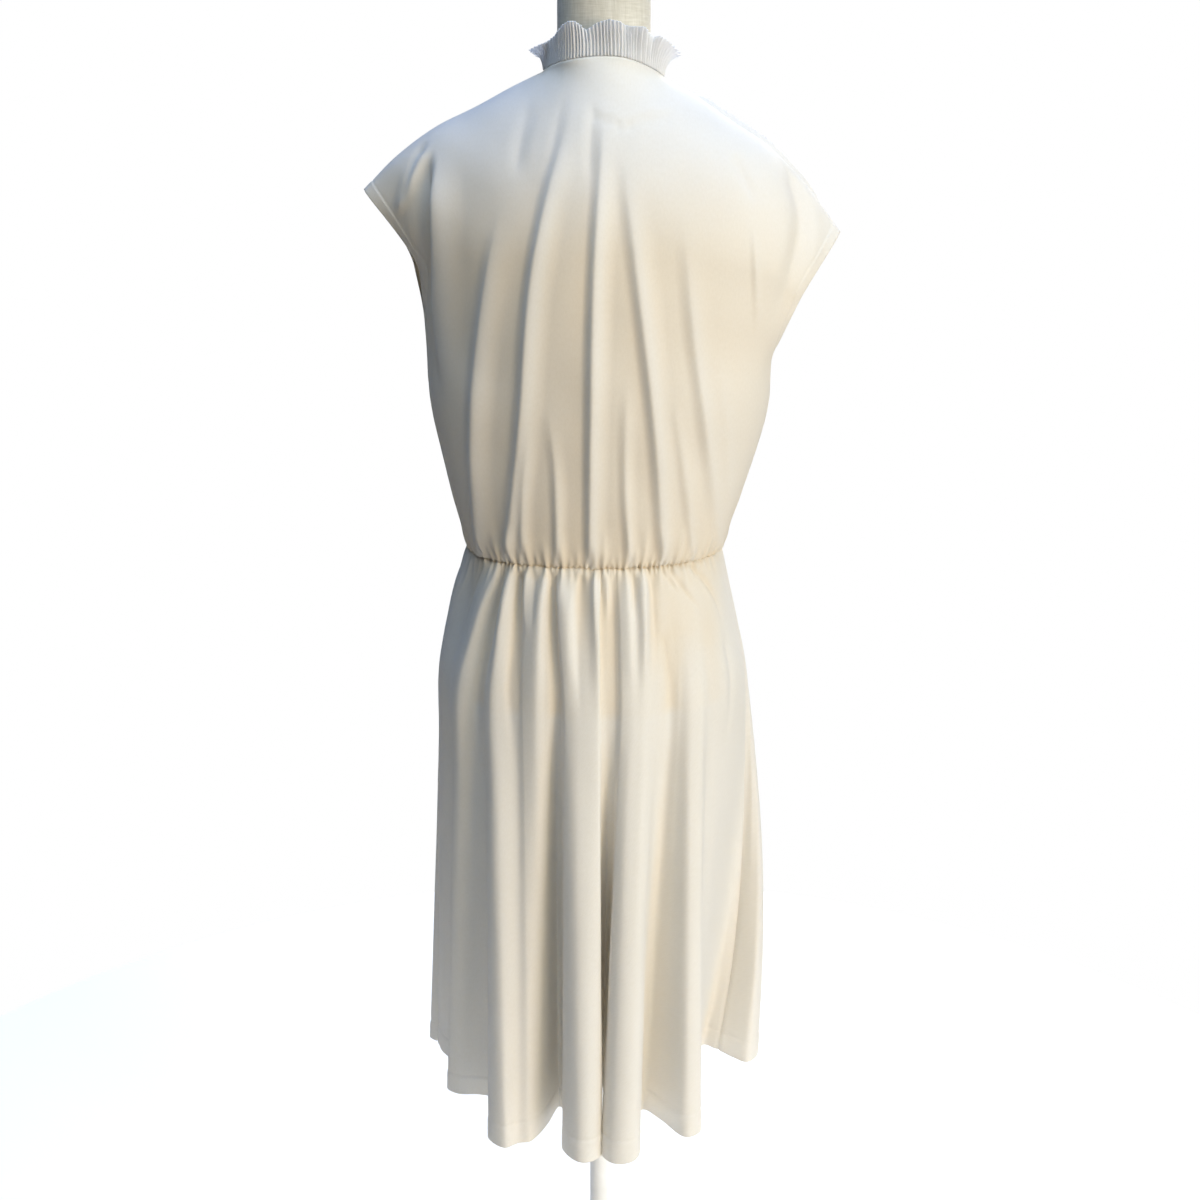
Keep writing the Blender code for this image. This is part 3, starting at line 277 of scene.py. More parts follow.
# Slack folds of the skirt's upper part: degrees at three places down it, the
# heights they start and end at, rise, and reach of the left and right flank.
SKIRT_CREASES = [
    # name, deg_1, deg_2, deg_3, z_top, z_low, rise mm, left mm, right mm
    ("V_left", -33.5, -31.5, -29, 0.925, 0.700, -2.2, 6, 8),
    ("V_left_lip", -30, -28.6, -26, 0.928, 0.850, 2.2, 6, 7),
    ("V_mid", -26, -24.6, -23.5, 0.928, 0.855, -1.6, 5, 6),
    ("tube_left", -5.4, -5.0, -3.6, 0.926, 0.765, -3.0, 11, 8),
    ("tube_left_lip", 0.6, 0.9, 1.0, 0.928, 0.840, 1.6, 7, 3),
    ("floor_lip", 5.6, 5.6, 5.4, 0.929, 0.870, 2.4, 6, 6),
    ("tube_right", 17.2, 16.6, 16, 0.928, 0.872, -1.8, 5, 6),
    ("tube_right_lip", 20.6, 20.0, 18.6, 0.928, 0.800, 1.8, 7, 9),
    ("right_fade", 25.6, 25.2, 24.6, 0.928, 0.815, -1.6, 7, 8),
    ("hip_slant_1", 34, 41, 50, 0.930, 0.872, -2.0, 6, 9),
    ("hip_slant_0", 30, 35, 41, 0.930, 0.890, -1.4, 5, 7),
    ("hip_slant_2", 45, 61, 64, 0.932, 0.840, -2.6, 9, 12),
    ("hip_slant_3", 64, 63, 57, 0.845, 0.700, -2.4, 12, 14),
    ("low_right", 28.5, 30, 31, 0.860, 0.740, -2.0, 9, 9),
    ("left_slant_1", -58, -63, -69, 0.930, 0.850, -1.8, 7, 7),
    ("left_slant_2", -70, -74, -78, 0.930, 0.870, 1.6, 7, 8),
    ("front_slant_1", 112, 108, 104, 0.930, 0.830, -2.0, 9, 9),
    ("front_slant_2", 124, 121, 119, 0.930, 0.850, 1.8, 7, 8),
    ("front_V_1", 148, 147, 146, 0.928, 0.800, -2.0, 7, 7),
    ("front_V_2", 176, 175, 174, 0.928, 0.790, -2.2, 7, 8),
    ("front_V_3", 208, 206, 204, 0.928, 0.815, -2.0, 8, 7),
    ("front_V_4", 238, 236, 233, 0.928, 0.800, -2.2, 7, 8),
    ("front_V_5", 252, 251, 250, 0.928, 0.840, 1.8, 7, 7),
]

# Gathers that the waist elastic draws up, as they show at the back: degrees at
# the seam, how far the crest runs up the bodice and down the skirt, rise, and
# half width, mm.
GATHERS = [
    # deg, up, down, rise, half
    (-84, 20, 22, 1.3, 3.0), (-78, 28, 16, 1.6, 3.4), (-73, 16, 26, 1.2, 2.8),
    (-66.5, 24, 30, 1.7, 3.4), (-61, 18, 20, 1.3, 2.8), (-56, 26, 16, 1.6, 3.0),
    (-51, 16, 24, 1.3, 2.8), (-46.6, 34, 40, 1.9, 3.6), (-42, 14, 12, 1.2, 2.4),
    (-38.2, 42, 38, 2.3, 4.0), (-33.6, 20, 12, 1.5, 2.8), (-29.6, 36, 34, 2.1, 3.6),
    (-25.4, 16, 14, 1.2, 2.4), (-21.4, 26, 36, 1.9, 3.4), (-17.4, 14, 10, 1.3, 2.4),
    (-13.6, 34, 32, 2.0, 3.4), (-10.2, 12, 14, 1.2, 2.2), (-7.0, 20, 22, 1.4, 2.6),
    (-3.4, 12, 18, 1.2, 2.4), (0.6, 28, 40, 2.0, 3.2), (4.2, 36, 26, 2.2, 3.4),
    (7.6, 14, 14, 1.3, 2.4), (10.6, 18, 12, 1.3, 2.4), (13.8, 30, 30, 1.9, 3.2),
    (18.0, 26, 14, 1.5, 2.8), (21.4, 38, 36, 2.1, 3.6), (25.4, 16, 14, 1.2, 2.4),
    (29.4, 32, 22, 1.8, 3.2), (33.0, 14, 26, 1.2, 2.6), (37.6, 42, 18, 2.0, 3.8),
    (42.6, 18, 30, 1.3, 2.8), (46.4, 24, 16, 1.6, 3.0), (51.6, 16, 26, 1.2, 2.8),
    (57.0, 28, 18, 1.6, 3.4), (62.4, 16, 24, 1.2, 2.8), (69.0, 22, 18, 1.4, 3.2),
    (76.0, 16, 20, 1.1, 2.8), (83.0, 22, 16, 1.3, 3.2),
]
FRONT_GATHERS = (88, 273)   # degrees between which the rest are spaced unevenly

# The ruffle's free edge round the neck: how far it is thrown out, how far it
# drops, and how far its pleats lean along the seam, mm.
RUFFLE_EDGE = [
    # name, deg, throw, drop, lean
    ("left_end_dip", -112, 6, 11, -2),
    ("left_end", -94, 12, 12, -6),
    ("left_tip", -80, 13, 12, 1),
    ("left_lobe", -71, 8, 9.8, 8),
    ("left_notch", -61, 3, 8.4, 3),
    ("back_left_foot", -54, 2.5, 5.8, 6),
    ("back_left_rise", -46, 4, 1.2, 7),
    ("back_left_top", -37, 6.5, -2.4, 7),
    ("back_left", -27, 8.5, -3.8, 3),
    ("back_left_fall", -20, 6, 0.1, 0),
    ("back_notch", -14.5, 1.5, 5.7, -1.5),
    ("back_rise", -10, 3, 3.4, -1.5),
    ("back_middle_rise", -5, 6, 0.5, -1),
    ("back_middle", 3, 8, -2.1, -1.5),
    ("back_middle_top", 10, 8, -2.7, -2.5),
    ("back_fold", 16, 5, -1.1, -2.5),
    ("back_step", 20.5, 1.5, 0.6, -2),
    ("back_right", 31, 6, 0.4, -5),
    ("back_right_top", 42, 8, -1.3, -5.5),
    ("right_notch", 46.5, 5, 0.8, -3),
    ("right_step", 51, 3, 2.6, 0),
    ("right_rise", 58, 9, 0.4, -3),
    ("right_lobe", 68, 13, 2.9, -2),
    ("right_tip", 80, 16, 9.1, 0),
    ("right_end", 93, 13, 11, 4),
    ("right_dip", 108, 8, 10, 2),
    ("front_right_1", 122, 15, 6, -3),
    ("front_right_n", 138, 5, 5, 0),
    ("front_right_2", 154, 13, 4, 3),
    ("front_right_e", 174, 9, 5, 2),
    ("front_left_e", 188, 9, 5, -2),
    ("front_left_2", 206, 13, 4, -3),
    ("front_left_n", 220, 5, 5, 0),
    ("front_left_1", 234, 15, 6, 3),
]

BUTTON_HEIGHTS = [0.990, 1.080, 1.180, 1.280, 1.365]


# ------------------------------------------------------------ small helpers
def curve(knots, values, at, ends=None):
    """Smooth curve through the values at the knots, read at the given places."""
    k = np.asarray(knots, float)
    v = np.asarray(values, float)
    flat = v.ndim == 1
    v = v.reshape(len(k), -1)
    at = np.atleast_1d(np.asarray(at, float))
    h = np.diff(k)[:, None]
    slope = np.diff(v, axis=0) / h
    m = np.empty_like(v)
    m[1:-1] = (slope[:-1] * h[1:] + slope[1:] * h[:-1]) / (h[:-1] + h[1:])
    m[0] = slope[0] if ends is None else ends[0]
    m[-1] = slope[-1] if ends is None else ends[1]
    i = np.clip(np.searchsorted(k, at, side="right") - 1, 0, len(k) - 2)
    w = h[i]
    t = ((at - k[i])[:, None]) / w
    out = ((2 * t**3 - 3 * t**2 + 1) * v[i] + (t**3 - 2 * t**2 + t) * w * m[i]
           + (-2 * t**3 + 3 * t**2) * v[i + 1] + (t**3 - t**2) * w * m[i + 1])
    return out[:, 0] if flat else out


def ease(x):
    x = np.clip(x, 0.0, 1.0)
    return x * x * (3 - 2 * x)


def unit(v):
    return v / np.maximum(np.linalg.norm(v, axis=-1, keepdims=True), 1e-12)


def col(table, k):
    return np.array([row[k] for row in table], float)


def bump(off, left, right):
    """1 on a narrow crest, 0 at the feet of its flanks, level at both."""
    x = np.clip(np.where(off < 0, -off / left, off / right), 0, 1)
    round_top = 0.22
    y = (np.sqrt(x * x + round_top**2) - round_top) / (math.sqrt(1 + round_top**2) - round_top)
    return (1 - y) ** 2


def waves(a, b, size, seed, count=9):
    """Smooth uneven field from -1 to 1 over two lengths, of about that size."""
    rng = np.random.default_rng(seed)
    out = np.zeros(np.broadcast(a, b).shape)
    for _ in range(count):
        turn = rng.uniform(0, 2 * np.pi)
        k = 2 * np.pi / (size * rng.uniform(0.7, 1.6))
        out += np.sin(k * (a * np.cos(turn) + b * np.sin(turn)) + rng.uniform(0, 2 * np.pi))
    return out / count * 1.6


def grid_normals(grid, around=False):
    """Normals of a grid of points, rows by columns, all on one side."""
    across = np.empty_like(grid)
    if around:
        across[:] = np.roll(grid, -1, axis=1) - np.roll(grid, 1, axis=1)
    else:
        across[:, 1:-1] = grid[:, 2:] - grid[:, :-2]
        across[:, 0] = grid[:, 1] - grid[:, 0]
        across[:, -1] = grid[:, -1] - grid[:, -2]
    up = np.empty_like(grid)
    up[1:-1] = grid[2:] - grid[:-2]
    up[0] = grid[1] - grid[0]
    up[-1] = grid[-1] - grid[-2]
    n = unit(np.cross(unit(across), unit(up)))
    out = grid.copy()
    out[..., 2] = 0
    if (n * out).sum() < 0:
        n = -n
    return n


def run_along(grid, axis):
    """Distance along the rows or columns of a grid from its first point."""
    step = np.linalg.norm(np.diff(grid, axis=axis), axis=-1)
    pad = np.zeros_like(np.take(step, [0], axis=axis))
    return np.cumsum(np.concatenate([pad, step], axis=axis), axis=axis)


# ------------------------------------------------------------ the surfaces
def top_edge(panel, s):
    neck = BACK_NECK if panel == "back" else FRONT_NECK
    out = np.empty((len(s), 3))
    for side, first in ((-1, 2), (1, 5)):
        mine = (s <= 0) if side < 0 else (s > 0)
        a = np.abs(s[mine])
        sh = np.array([r[first:first + 3] for r in SHOULDER])
        sh_s = col(SHOULDER, 1)
        nk = np.array([[r[2] if r[1] == 0 else side * r[2], r[3], r[4]] for r in neck] + [list(sh[0])])
        nk_s = np.array([r[1] for r in neck] + [NECK_S])
        span = nk[1] - nk[0]
        start = np.array([span[0] / (nk_s[1] - nk_s[0]), 0.0, 0.0])
        end = (nk[2] - nk[1]) / (nk_s[2] - nk_s[1]) * np.array([0.55, 1.35, 1.0])
        res = np.empty((len(a), 3))
        low = a <= NECK_S
        if low.any():
            res[low] = curve(nk_s, nk, a[low], ends=(start, end))
        if (~low).any():
            res[~low] = curve(sh_s, sh, a[~low])
        out[mine] = res
    return out


def section(row, s):
    _, _, zc, dc, deg, ul, dl, zl, ur, dr, zr = row
    phi = math.radians(deg)
    a = np.abs(s)
    ue = np.where(s < 0, ul, ur)
    de = np.where(s < 0, dl, dr)
    ze = np.where(s < 0, zl, zr)
    u = ue * np.sin(a * phi) / math.sin(phi)
    fall = np.clip((np.cos(a * phi) - math.cos(phi)) / (1 - math.cos(phi)), 0, 1) ** 0.88
    return np.stack([u, de + (dc - de) * fall, zc + (ze - zc) * a**2], -1)


def bodice(panel, s, t):
    """Outer face of a bodice panel over s, left to right, and t, upwards."""
    rows = BACK_ROWS if panel == "back" else FRONT_ROWS
    s = np.asarray(s, float)
    t = np.asarray(t, float)
    knots = col(rows, 1)
    net = np.array([section(r, s) for r in rows])
    flat = net.reshape(len(rows), -1)
    last = (flat[-1] - flat[-2]) / (knots[-1] - knots[-2])
    first = (flat[1] - flat[0]) / (knots[1] - knots[0])
    low = t <= knots[-1]
    out = np.empty((len(t), len(s), 3))
    if low.any():
        out[low] = curve(knots, flat, t[low], ends=(first, last)).reshape(-1, len(s), 3)
    if (~low).any():
        tau = ((t[~low] - knots[-1]) / (1 - knots[-1]))[:, None, None]
        p0 = net[-1][None]
        edge = top_edge(panel, s)
        a = np.abs(s)
        # the corner at the neck point fades out within the first few cm
        soft = np.zeros_like(edge)
        shifts = np.linspace(-0.24, 0.24, 49)
        for shift in shifts:
            soft += top_edge(panel, np.clip(s + shift, -1, 1)) * (1 + math.cos(math.pi * shift / 0.25)) / 2
        soft /= sum((1 + math.cos(math.pi * shift / 0.25)) / 2 for shift in shifts)
        share = ease(1 - np.maximum(a - 0.38, 0) / 0.45)[:, None]
        soft = edge + (soft - edge) * share
        p1 = soft[None]
        near = sum(top_edge(panel, np.clip(s + shift, -1, 1)) for shift in np.linspace(-0.09, 0.09, 19)) / 19
        near = edge + (near - edge) * share
        below = (1 - tau) * 0.17
        local = np.exp(-(below / 0.026) ** 2) * (near - soft)[None] + np.exp(-(below / 0.009) ** 2) * (edge - near)[None]
        at = np.concatenate([-col(ARRIVAL, 1)[:0:-1], col(ARRIVAL, 1)])
        both = lambda k: np.concatenate([col(ARRIVAL, k)[:0:-1], col(ARRIVAL, k)])
        taps = np.linspace(-0.16, 0.16, 33)
        heavy = 1 + np.cos(math.pi * taps / 0.17)
        spread = lambda f: sum(w * f(np.clip(s + x, -1, 1)) for w, x in zip(heavy, taps)) / heavy.sum()
        reach = spread(lambda x: curve(at, both(2), x))[:, None]
        run_u = spread(lambda x: curve(at, both(3), x) * np.sign(x))
        run_d = spread(lambda x: curve(at, both(4 if panel == "back" else 6), x))
        run_z = spread(lambda x: curve(at, both(5 if panel == "back" else 7), x))
        m0 = (unit(last.reshape(len(s), 3)) * reach)[None]
        m1 = np.stack([run_u, run_d, run_z], -1)[None]
        out[~low] = ((2 * tau**3 - 3 * tau**2 + 1) * p0 + (tau**3 - 2 * tau**2 + tau) * m0
                     + (-2 * tau**3 + 3 * tau**2) * p1 + (tau**3 - tau**2) * m1) + local
    return out


def seam_normals(panel, normals, s, t):
    n = normals
    side_t = next(r[1] for r in BACK_ROWS if r[0] == "underarm")
    for c, sign in ((0, -1.0), (-1, 1.0)):
        if abs(abs(s[c]) - 1) < 1e-9:
            n[t <= side_t + 1e-9, c] = (sign, 0, 0)
    n[0, :, 2] = 0
    n[0] = unit(n[0])
    a = np.abs(s)
    lift = ease((a - NECK_S + 0.04) / 0.08)
    shared = unit(np.stack([0.42 * np.sign(s) * np.ones_like(s), np.full_like(s, 0.10), np.full_like(s, 0.9)], -1))
    n[-1] = unit(n[-1] * (1 - lift)[:, None] + shared * lift[:, None])
    return n


def ring_point(deg, z, out=0.0):
    a = np.radians(deg)
    k = (WAIST_SEAM_Z - z) / (WAIST_SEAM_Z - HIP_Z)
    half = 0.1395 + (0.1675 - 0.1395) * k + out
    mid = -0.0065 - 0.0025 * k
    behind = 0.100 + (0.1255 - 0.100) * k + out
    front = 0.106 + (0.1270 - 0.106) * k + out
    c = np.cos(a)
    return mid + half * np.sin(a), np.where(c > 0, behind, front) * c


def waist_degrees(grid):
    """Angle round the waist of points near it, as ring_point counts it."""
    return np.degrees(np.arctan2((grid[..., 0] + 0.0065) / 0.1395, grid[..., 1] / 0.102))


RING_DEG = np.linspace(-180, 540, 1441)
_u, _d = ring_point(RING_DEG, WAIST_SEAM_Z)
RING_RUN = np.concatenate([[0], np.cumsum(np.hypot(np.diff(_u), np.diff(_d)))])


def waist_run(deg):
    """Distance round the waist seam at an angle, and its whole length."""
    return np.interp(deg, RING_DEG, RING_RUN)


def all_gathers():
    """The gathers at the back, then as uneven ones round the front."""
    rng = np.random.default_rng(41)
    rows = list(GATHERS)
    deg, stop = FRONT_GATHERS
    while deg < stop:
        rows.append((deg, rng.uniform(12, 40), rng.uniform(12, 38), rng.uniform(1.1, 2.2), rng.uniform(2.4, 3.8)))
        deg += rng.uniform(3.0, 6.4)
    return rows


def gathered(deg, away, down):
    """How far the gathers stand out at points near the waist seam, in metres."""
    run = waist_run(np.mod(deg + 90, 360) - 90)
    total = waist_run(270.0) - waist_run(-90.0)
    out = np.zeros(np.broadcast(deg, away).shape)
    near = away < 0.075
    if not near.any():
        return out
    r = np.broadcast_to(run, out.shape)[near]
    a = np.broadcast_to(away, out.shape)[near]
    got = np.zeros(len(r))
    for d, up, low, rise, half in all_gathers():
        reach = (low if down else up) * 1.5e-3
        off = (r - waist_run(d) + total / 2) % total - total / 2
        wide = half / 1000 * (1.25 + 0.9 * a / reach)
        fade = (1 - ease((a - reach * 0.15) / (reach * 0.85))) * (0.60 + 0.40 * ease(a / 0.004))
        got += rise / 1000 * 1.15 * fade * bump(off, wide * 1.5, wide * 1.5)
    out[near] = got
    return out


def long_folds(panel, grid):
    """How far the bodice's long folds and cross creases stand out, in metres."""
    u, z = grid[..., 0] * 1000, grid[..., 2] * 1000
    out = np.zeros(u.shape)
    for name, where, z0, z1, u1, u2, u3, u4, r1, r2, r3, left, right in RIDGES:
        if where != panel:
            continue
        k = np.clip((z - z0) / (z1 - z0), 0, 1)
        line = curve([0, 1 / 3, 2 / 3, 1], [u1, u2, u3, u4], k.ravel()).reshape(k.shape)
        rise = curve([0, 0.5, 1], [r1, r2, r3], k.ravel()).reshape(k.shape)
        low = 1.0 if z0 < 945 else ease((z - z0) / (0.25 * (z1 - z0)))
        fade = low * ease((z1 - z) / (0.22 * (z1 - z0)))
        grow = 0.8 + 0.2 * k if z0 < 945 else 1.0
        out += rise * fade * bump(u - line, left * grow * 1.2, right * grow * 1.35)
    for name, where, u0, u1, z1, z2, z3, z4, rise, half in CROSS:
        if where != panel:
            continue
        k = np.clip((u - u0) / (u1 - u0), 0, 1)
        line = curve([0, 1 / 3, 2 / 3, 1], [z1, z2, z3, z4], k.ravel()).reshape(k.shape)
        fade = ease(k / 0.25) * ease((1 - k) / 0.25) * ((u > u0) & (u < u1))
        out += rise * fade * bump(z - line, half, half * 1.5)
    return out / 1000


def ruched(run, away):
    """The small puckers where thread and elastic draw the cloth in, in metres."""
    k = np.arange(260)
    rng = np.random.default_rng(57)
    at = np.cumsum(rng.uniform(0.0040, 0.0074, len(k)))
    high = rng.uniform(0.35, 1.0, len(k))
    reach = rng.uniform(0.004, 0.0115, len(k))
    mid = (at[1:] + at[:-1]) / 2
    i = np.clip(np.searchsorted(mid, run), 0, len(k) - 1)
    left = np.where(i > 0, mid[np.maximum(i - 1, 0)], 0)
    right = mid[np.minimum(i, len(mid) - 1)]
    off = np.clip((run - left) / np.maximum(right - left, 1e-4), 0, 1)
    crest = 0.5 - 0.5 * np.cos(2 * np.pi * off)
    fade = (1 - ease(away / reach[i])) * (0.70 + 0.30 * ease(away / 0.0022))
    return 0.0032 * high[i] * (crest**1.6 - 0.14) * fade


def seam_sway(run, away):
    """How far the drawn-in seam strays up and down, fading out with distance."""
    wave = 0.72 * waves(run, 0 * run, 0.0066, 71) + 0.28 * waves(run, 0 * run, 0.019, 72)
    return 0.0019 * np.clip(wave, -1, 1) * (1 - ease(away / 0.014))


def bodice_fine(panel, s, t):
    """The panel's outer face with its folds, gathers, seams and hems."""
    s, t = np.asarray(s, float), np.asarray(t, float)
    grid = bodice(panel, s, t)
    n = seam_normals(panel, grid_normals(grid), s, t)
    side_t = next(r[1] for r in BACK_ROWS if r[0] == "underarm")
    up = run_along(grid, 0)
    across = run_along(grid, 1)
    from_left = across if abs(s[0] + 1) < 1e-9 else np.full_like(across, 1.0)
    from_right = across[:, -1:] - across if abs(s[-1] - 1) < 1e-9 else np.full_like(across, 1.0)
    edge = np.minimum(from_left, from_right)
    top = up[-1:] - up
    sleeve = ease((t - side_t) / 0.06)[:, None]
    quiet = ease(edge / 0.012) * ease(top / 0.018)
    deg = waist_degrees(grid)
    away = grid[..., 2] - WAIST_SEAM_Z
    out = long_folds(panel, grid) * quiet * (0.12 + 0.88 * ease(away / 0.030))
    out += gathered(deg, np.maximum(away, 0), False) * ease(edge / 0.006)
    round_waist = waist_run(np.mod(deg + 90, 360) - 90) - waist_run(-90.0)
    out += ruched(round_waist, np.maximum(away, 0)) * ease(edge / 0.004)
    out += 0.0008 * ease(away / 0.006) * (1 - ease((away - 0.007) / 0.030))
    out += 0.0006 * waves(across, up, 0.080, 3 if panel == "back" else 4) * quiet
    out += 0.00012 * waves(across, up, 0.018, 5 if panel == "back" else 6) * quiet
    if panel == "front":     # on the right the front stands up a little before the seam
        a = np.abs(s)[None] * (s[None] > 0)
        strip = ease((a - 0.30) / 0.12) * ease((0.97 - a) / 0.16)
        out += 0.0050 * strip * ease(top / 0.007) * (1 - ease((top - 0.012) / 0.050))
    # seams draw in: shoulder, neck and side
    a = np.abs(s)[None]
    neck = ease((NECK_S + 0.01 - a) / 0.02)
    out -= 0.0010 * np.exp(-(top / 0.0030) ** 2) * (1 - neck)
    out += 0.00035 * np.exp(-((top - 0.0024) / 0.0016) ** 2) * neck
    out -= 0.0009 * np.exp(-(edge / 0.0030) ** 2) * (1 - sleeve)
    # the sleeve's turned hem
    hem = 0.0125
    out += (0.00045 * (1 - ease((edge - hem + 0.001) / 0.002))
            - 0.00045 * np.exp(-((edge - hem) / 0.0012) ** 2)) * sleeve
    grid = grid + out[..., None] * n
    back = 1.0 if panel == "back" else -1.0
    for c in (0, -1):
        if abs(abs(s[c]) - 1) < 1e-9:
            grid[t <= side_t + 1e-9, c, 1] += back * SEAM_GAP / 2
    over = np.abs(s) >= NECK_S - 1e-9
    grid[-1, over, 1] += back * SEAM_GAP / 2
    grid[0, :, 2] += 0.00002
    grid[..., 2] += seam_sway(round_waist, np.maximum(away, 0)) * ease(edge / 0.004)
    thick = WALL + (HEM_WALL - WALL) * (1 - ease((edge - hem + 0.001) / 0.0015)) * sleeve
    return grid, thick, np.stack([across - across[:, len(s) // 2][:, None], up], -1), edge, top


def closed_curve(knots, values, at, wrap=None, pad=3):
    """Smooth closed curve; wrap is what is added to the values after one turn."""
    turn = np.zeros(values.shape[1:]) if wrap is None else wrap
    ext = np.concatenate([values[-pad:] - turn, values, values[:pad + 1] + turn])
    ext_k = np.concatenate([knots[-1 - pad:-1] - knots[-1], knots, knots[1:pad + 1] + knots[-1]])
    return curve(ext_k, ext, at)


def skirt_rows(per_fold):
    """Closed sections at the solids' heights, and each column's degrees."""
    wd, hd = col(SKIRT, 2), col(SKIRT, 3)
    rise, out, bow = col(SKIRT, 4) / 1000, col(SKIRT, 5) / 1000, col(SKIRT, 6) / 1000
    hem = np.stack([col(SKIRT, 7), col(SKIRT, 8)], -1) / 1000
    hip = np.stack(ring_point(hd, HIP_Z, out), -1)
    chord = np.sqrt(np.linalg.norm(np.roll(hem, -1, axis=0) - hem, axis=1))
    knots = np.concatenate([[0], np.cumsum(chord)])
    n = len(hem)
    at = np.concatenate([knots[i] + (knots[i + 1] - knots[i]) * np.arange(per_fold) / per_fold for i in range(n)])
    rows = []
    for z in CAD_HEIGHTS:
        if z >= HIP_Z:
            k = (WAIST_SEAM_Z - z) / (WAIST_SEAM_Z - HIP_Z)
            stand = curve([0, 0.26, 1.0], np.array([np.zeros(n), rise, out]), [k])[0]
            pts = np.stack(ring_point(wd + (hd - wd) * k, z, stand), -1)
        else:
            k = (HIP_Z - z) / (HIP_Z - HEM_Z)
            pts = hip + (hem - hip) * k + unit(hip) * (bow * 4 * k * (1 - k))[:, None]
        rows.append(closed_curve(knots, pts, at))
    deg = closed_curve(knots, np.stack([wd, hd], -1), at, wrap=np.array([360.0, 360.0]))
    return np.array(rows), deg


def skirt_fine(per_fold, heights):
    """The whole skirt's outer face, waist to hem, with gathers and folds."""
    rows, deg2 = skirt_rows(per_fold)
    down = -np.array(CAD_HEIGHTS)
    fine = curve(down, rows.reshape(len(rows), -1), -heights).reshape(len(heights), -1, 2)
    z = np.repeat(heights[:, None], fine.shape[1], axis=1)
    grid = np.concatenate([fine, z[..., None]], -1)
    n = grid_normals(grid, around=True)
    k = np.clip((WAIST_SEAM_Z - z) / (WAIST_SEAM_Z - HIP_Z), 0, 1)
    deg = deg2[None, :, 0] + (deg2[:, 1] - deg2[:, 0])[None] * k
    per_deg = 2.25 + 0.35 * k                  # mm of cloth to a degree
    out = np.zeros(z.shape)
    for name, d1, d2, d3, z0, z1, rise, left, right in SKIRT_CREASES:
        q = np.clip((z0 - z) / (z0 - z1), 0, 1)
        line = curve([0, 0.5, 1], [d1, d2, d3], q.ravel()).reshape(q.shape)
        off = ((deg - line + 180) % 360 - 180) * per_deg
        fade = ease((z0 - z) / 0.010) * ease((1 - q) / 0.55)
        out += rise / 1000 * fade * bump(off, left, right)
    away = WAIST_SEAM_Z - z
    out += gathered(deg, away, True)
    round_waist = waist_run(np.mod(deg + 90, 360) - 90) - waist_run(-90.0)
    out += ruched(round_waist, away)
    out += 0.0006 * ease(away / 0.006) * (1 - ease((away - 0.010) / 0.050))
    run = run_along(grid, 1)
    mid_run = run[len(heights) // 2][None]
    low = ease((away - 0.05) / 0.15)
    out += 0.0004 * waves(mid_run, z * 0.35, 0.060, 11) * low + 0.00010 * waves(mid_run, z * 0.5, 0.018, 12)
    # the turned hem: a faint line where it is sewn, and its fuller edge
    rise_h = z - HEM_Z
    uneven = 0.0012 * waves(mid_run, 0 * z, 0.11, 13)
    band = 0.0255 + uneven
    out += 0.00045 * (1 - ease((rise_h - band + 0.001) / 0.002)) - 0.00075 * np.exp(-((rise_h - band) / 0.0018) ** 2)
    out += 0.00045 * waves(mid_run, z, 0.013, 14) * np.exp(-((rise_h - 0.024) / 0.012) ** 2)
    n[0, :, 2] = 0
    n[0] = unit(n[0])
    grid = grid + out[..., None] * n
    grid[..., 2] += 0.0012 * waves(mid_run, 0 * z, 0.16, 15) * ease((HEM_Z + 0.12 - z) / 0.12)
    grid[..., 2] += seam_sway(round_waist, away)
    grid[0, :, 2] += SEAM_GAP / 2 - 0.00002
    thick = WALL + (HEM_WALL - WALL) * (1 - ease((rise_h - band + 0.001) / 0.0015))
    uv = np.stack([run - run[:, :1], -run_along(grid, 0)], -1)
    return grid, grid_normals(grid, around=True), thick, uv, deg2


def neck_seam(count):
    """Neck seam from the front slit round the back to the slit again."""
    s = np.linspace(-NECK_S, NECK_S, 161)
    back = top_edge("back", s)
    front = top_edge("front", s)
    path = np.concatenate([front[:81][::-1][:-1], back, front[80:][::-1][1:]])
    step = np.concatenate([[0], np.cumsum(np.linalg.norm(np.diff(path, axis=0), axis=1))])
    slit = 0.0012
    at = np.linspace(slit, step[-1] - slit, count)
    return np.stack([np.interp(at, step, path[:, i]) for i in range(3)], -1), step[-1]


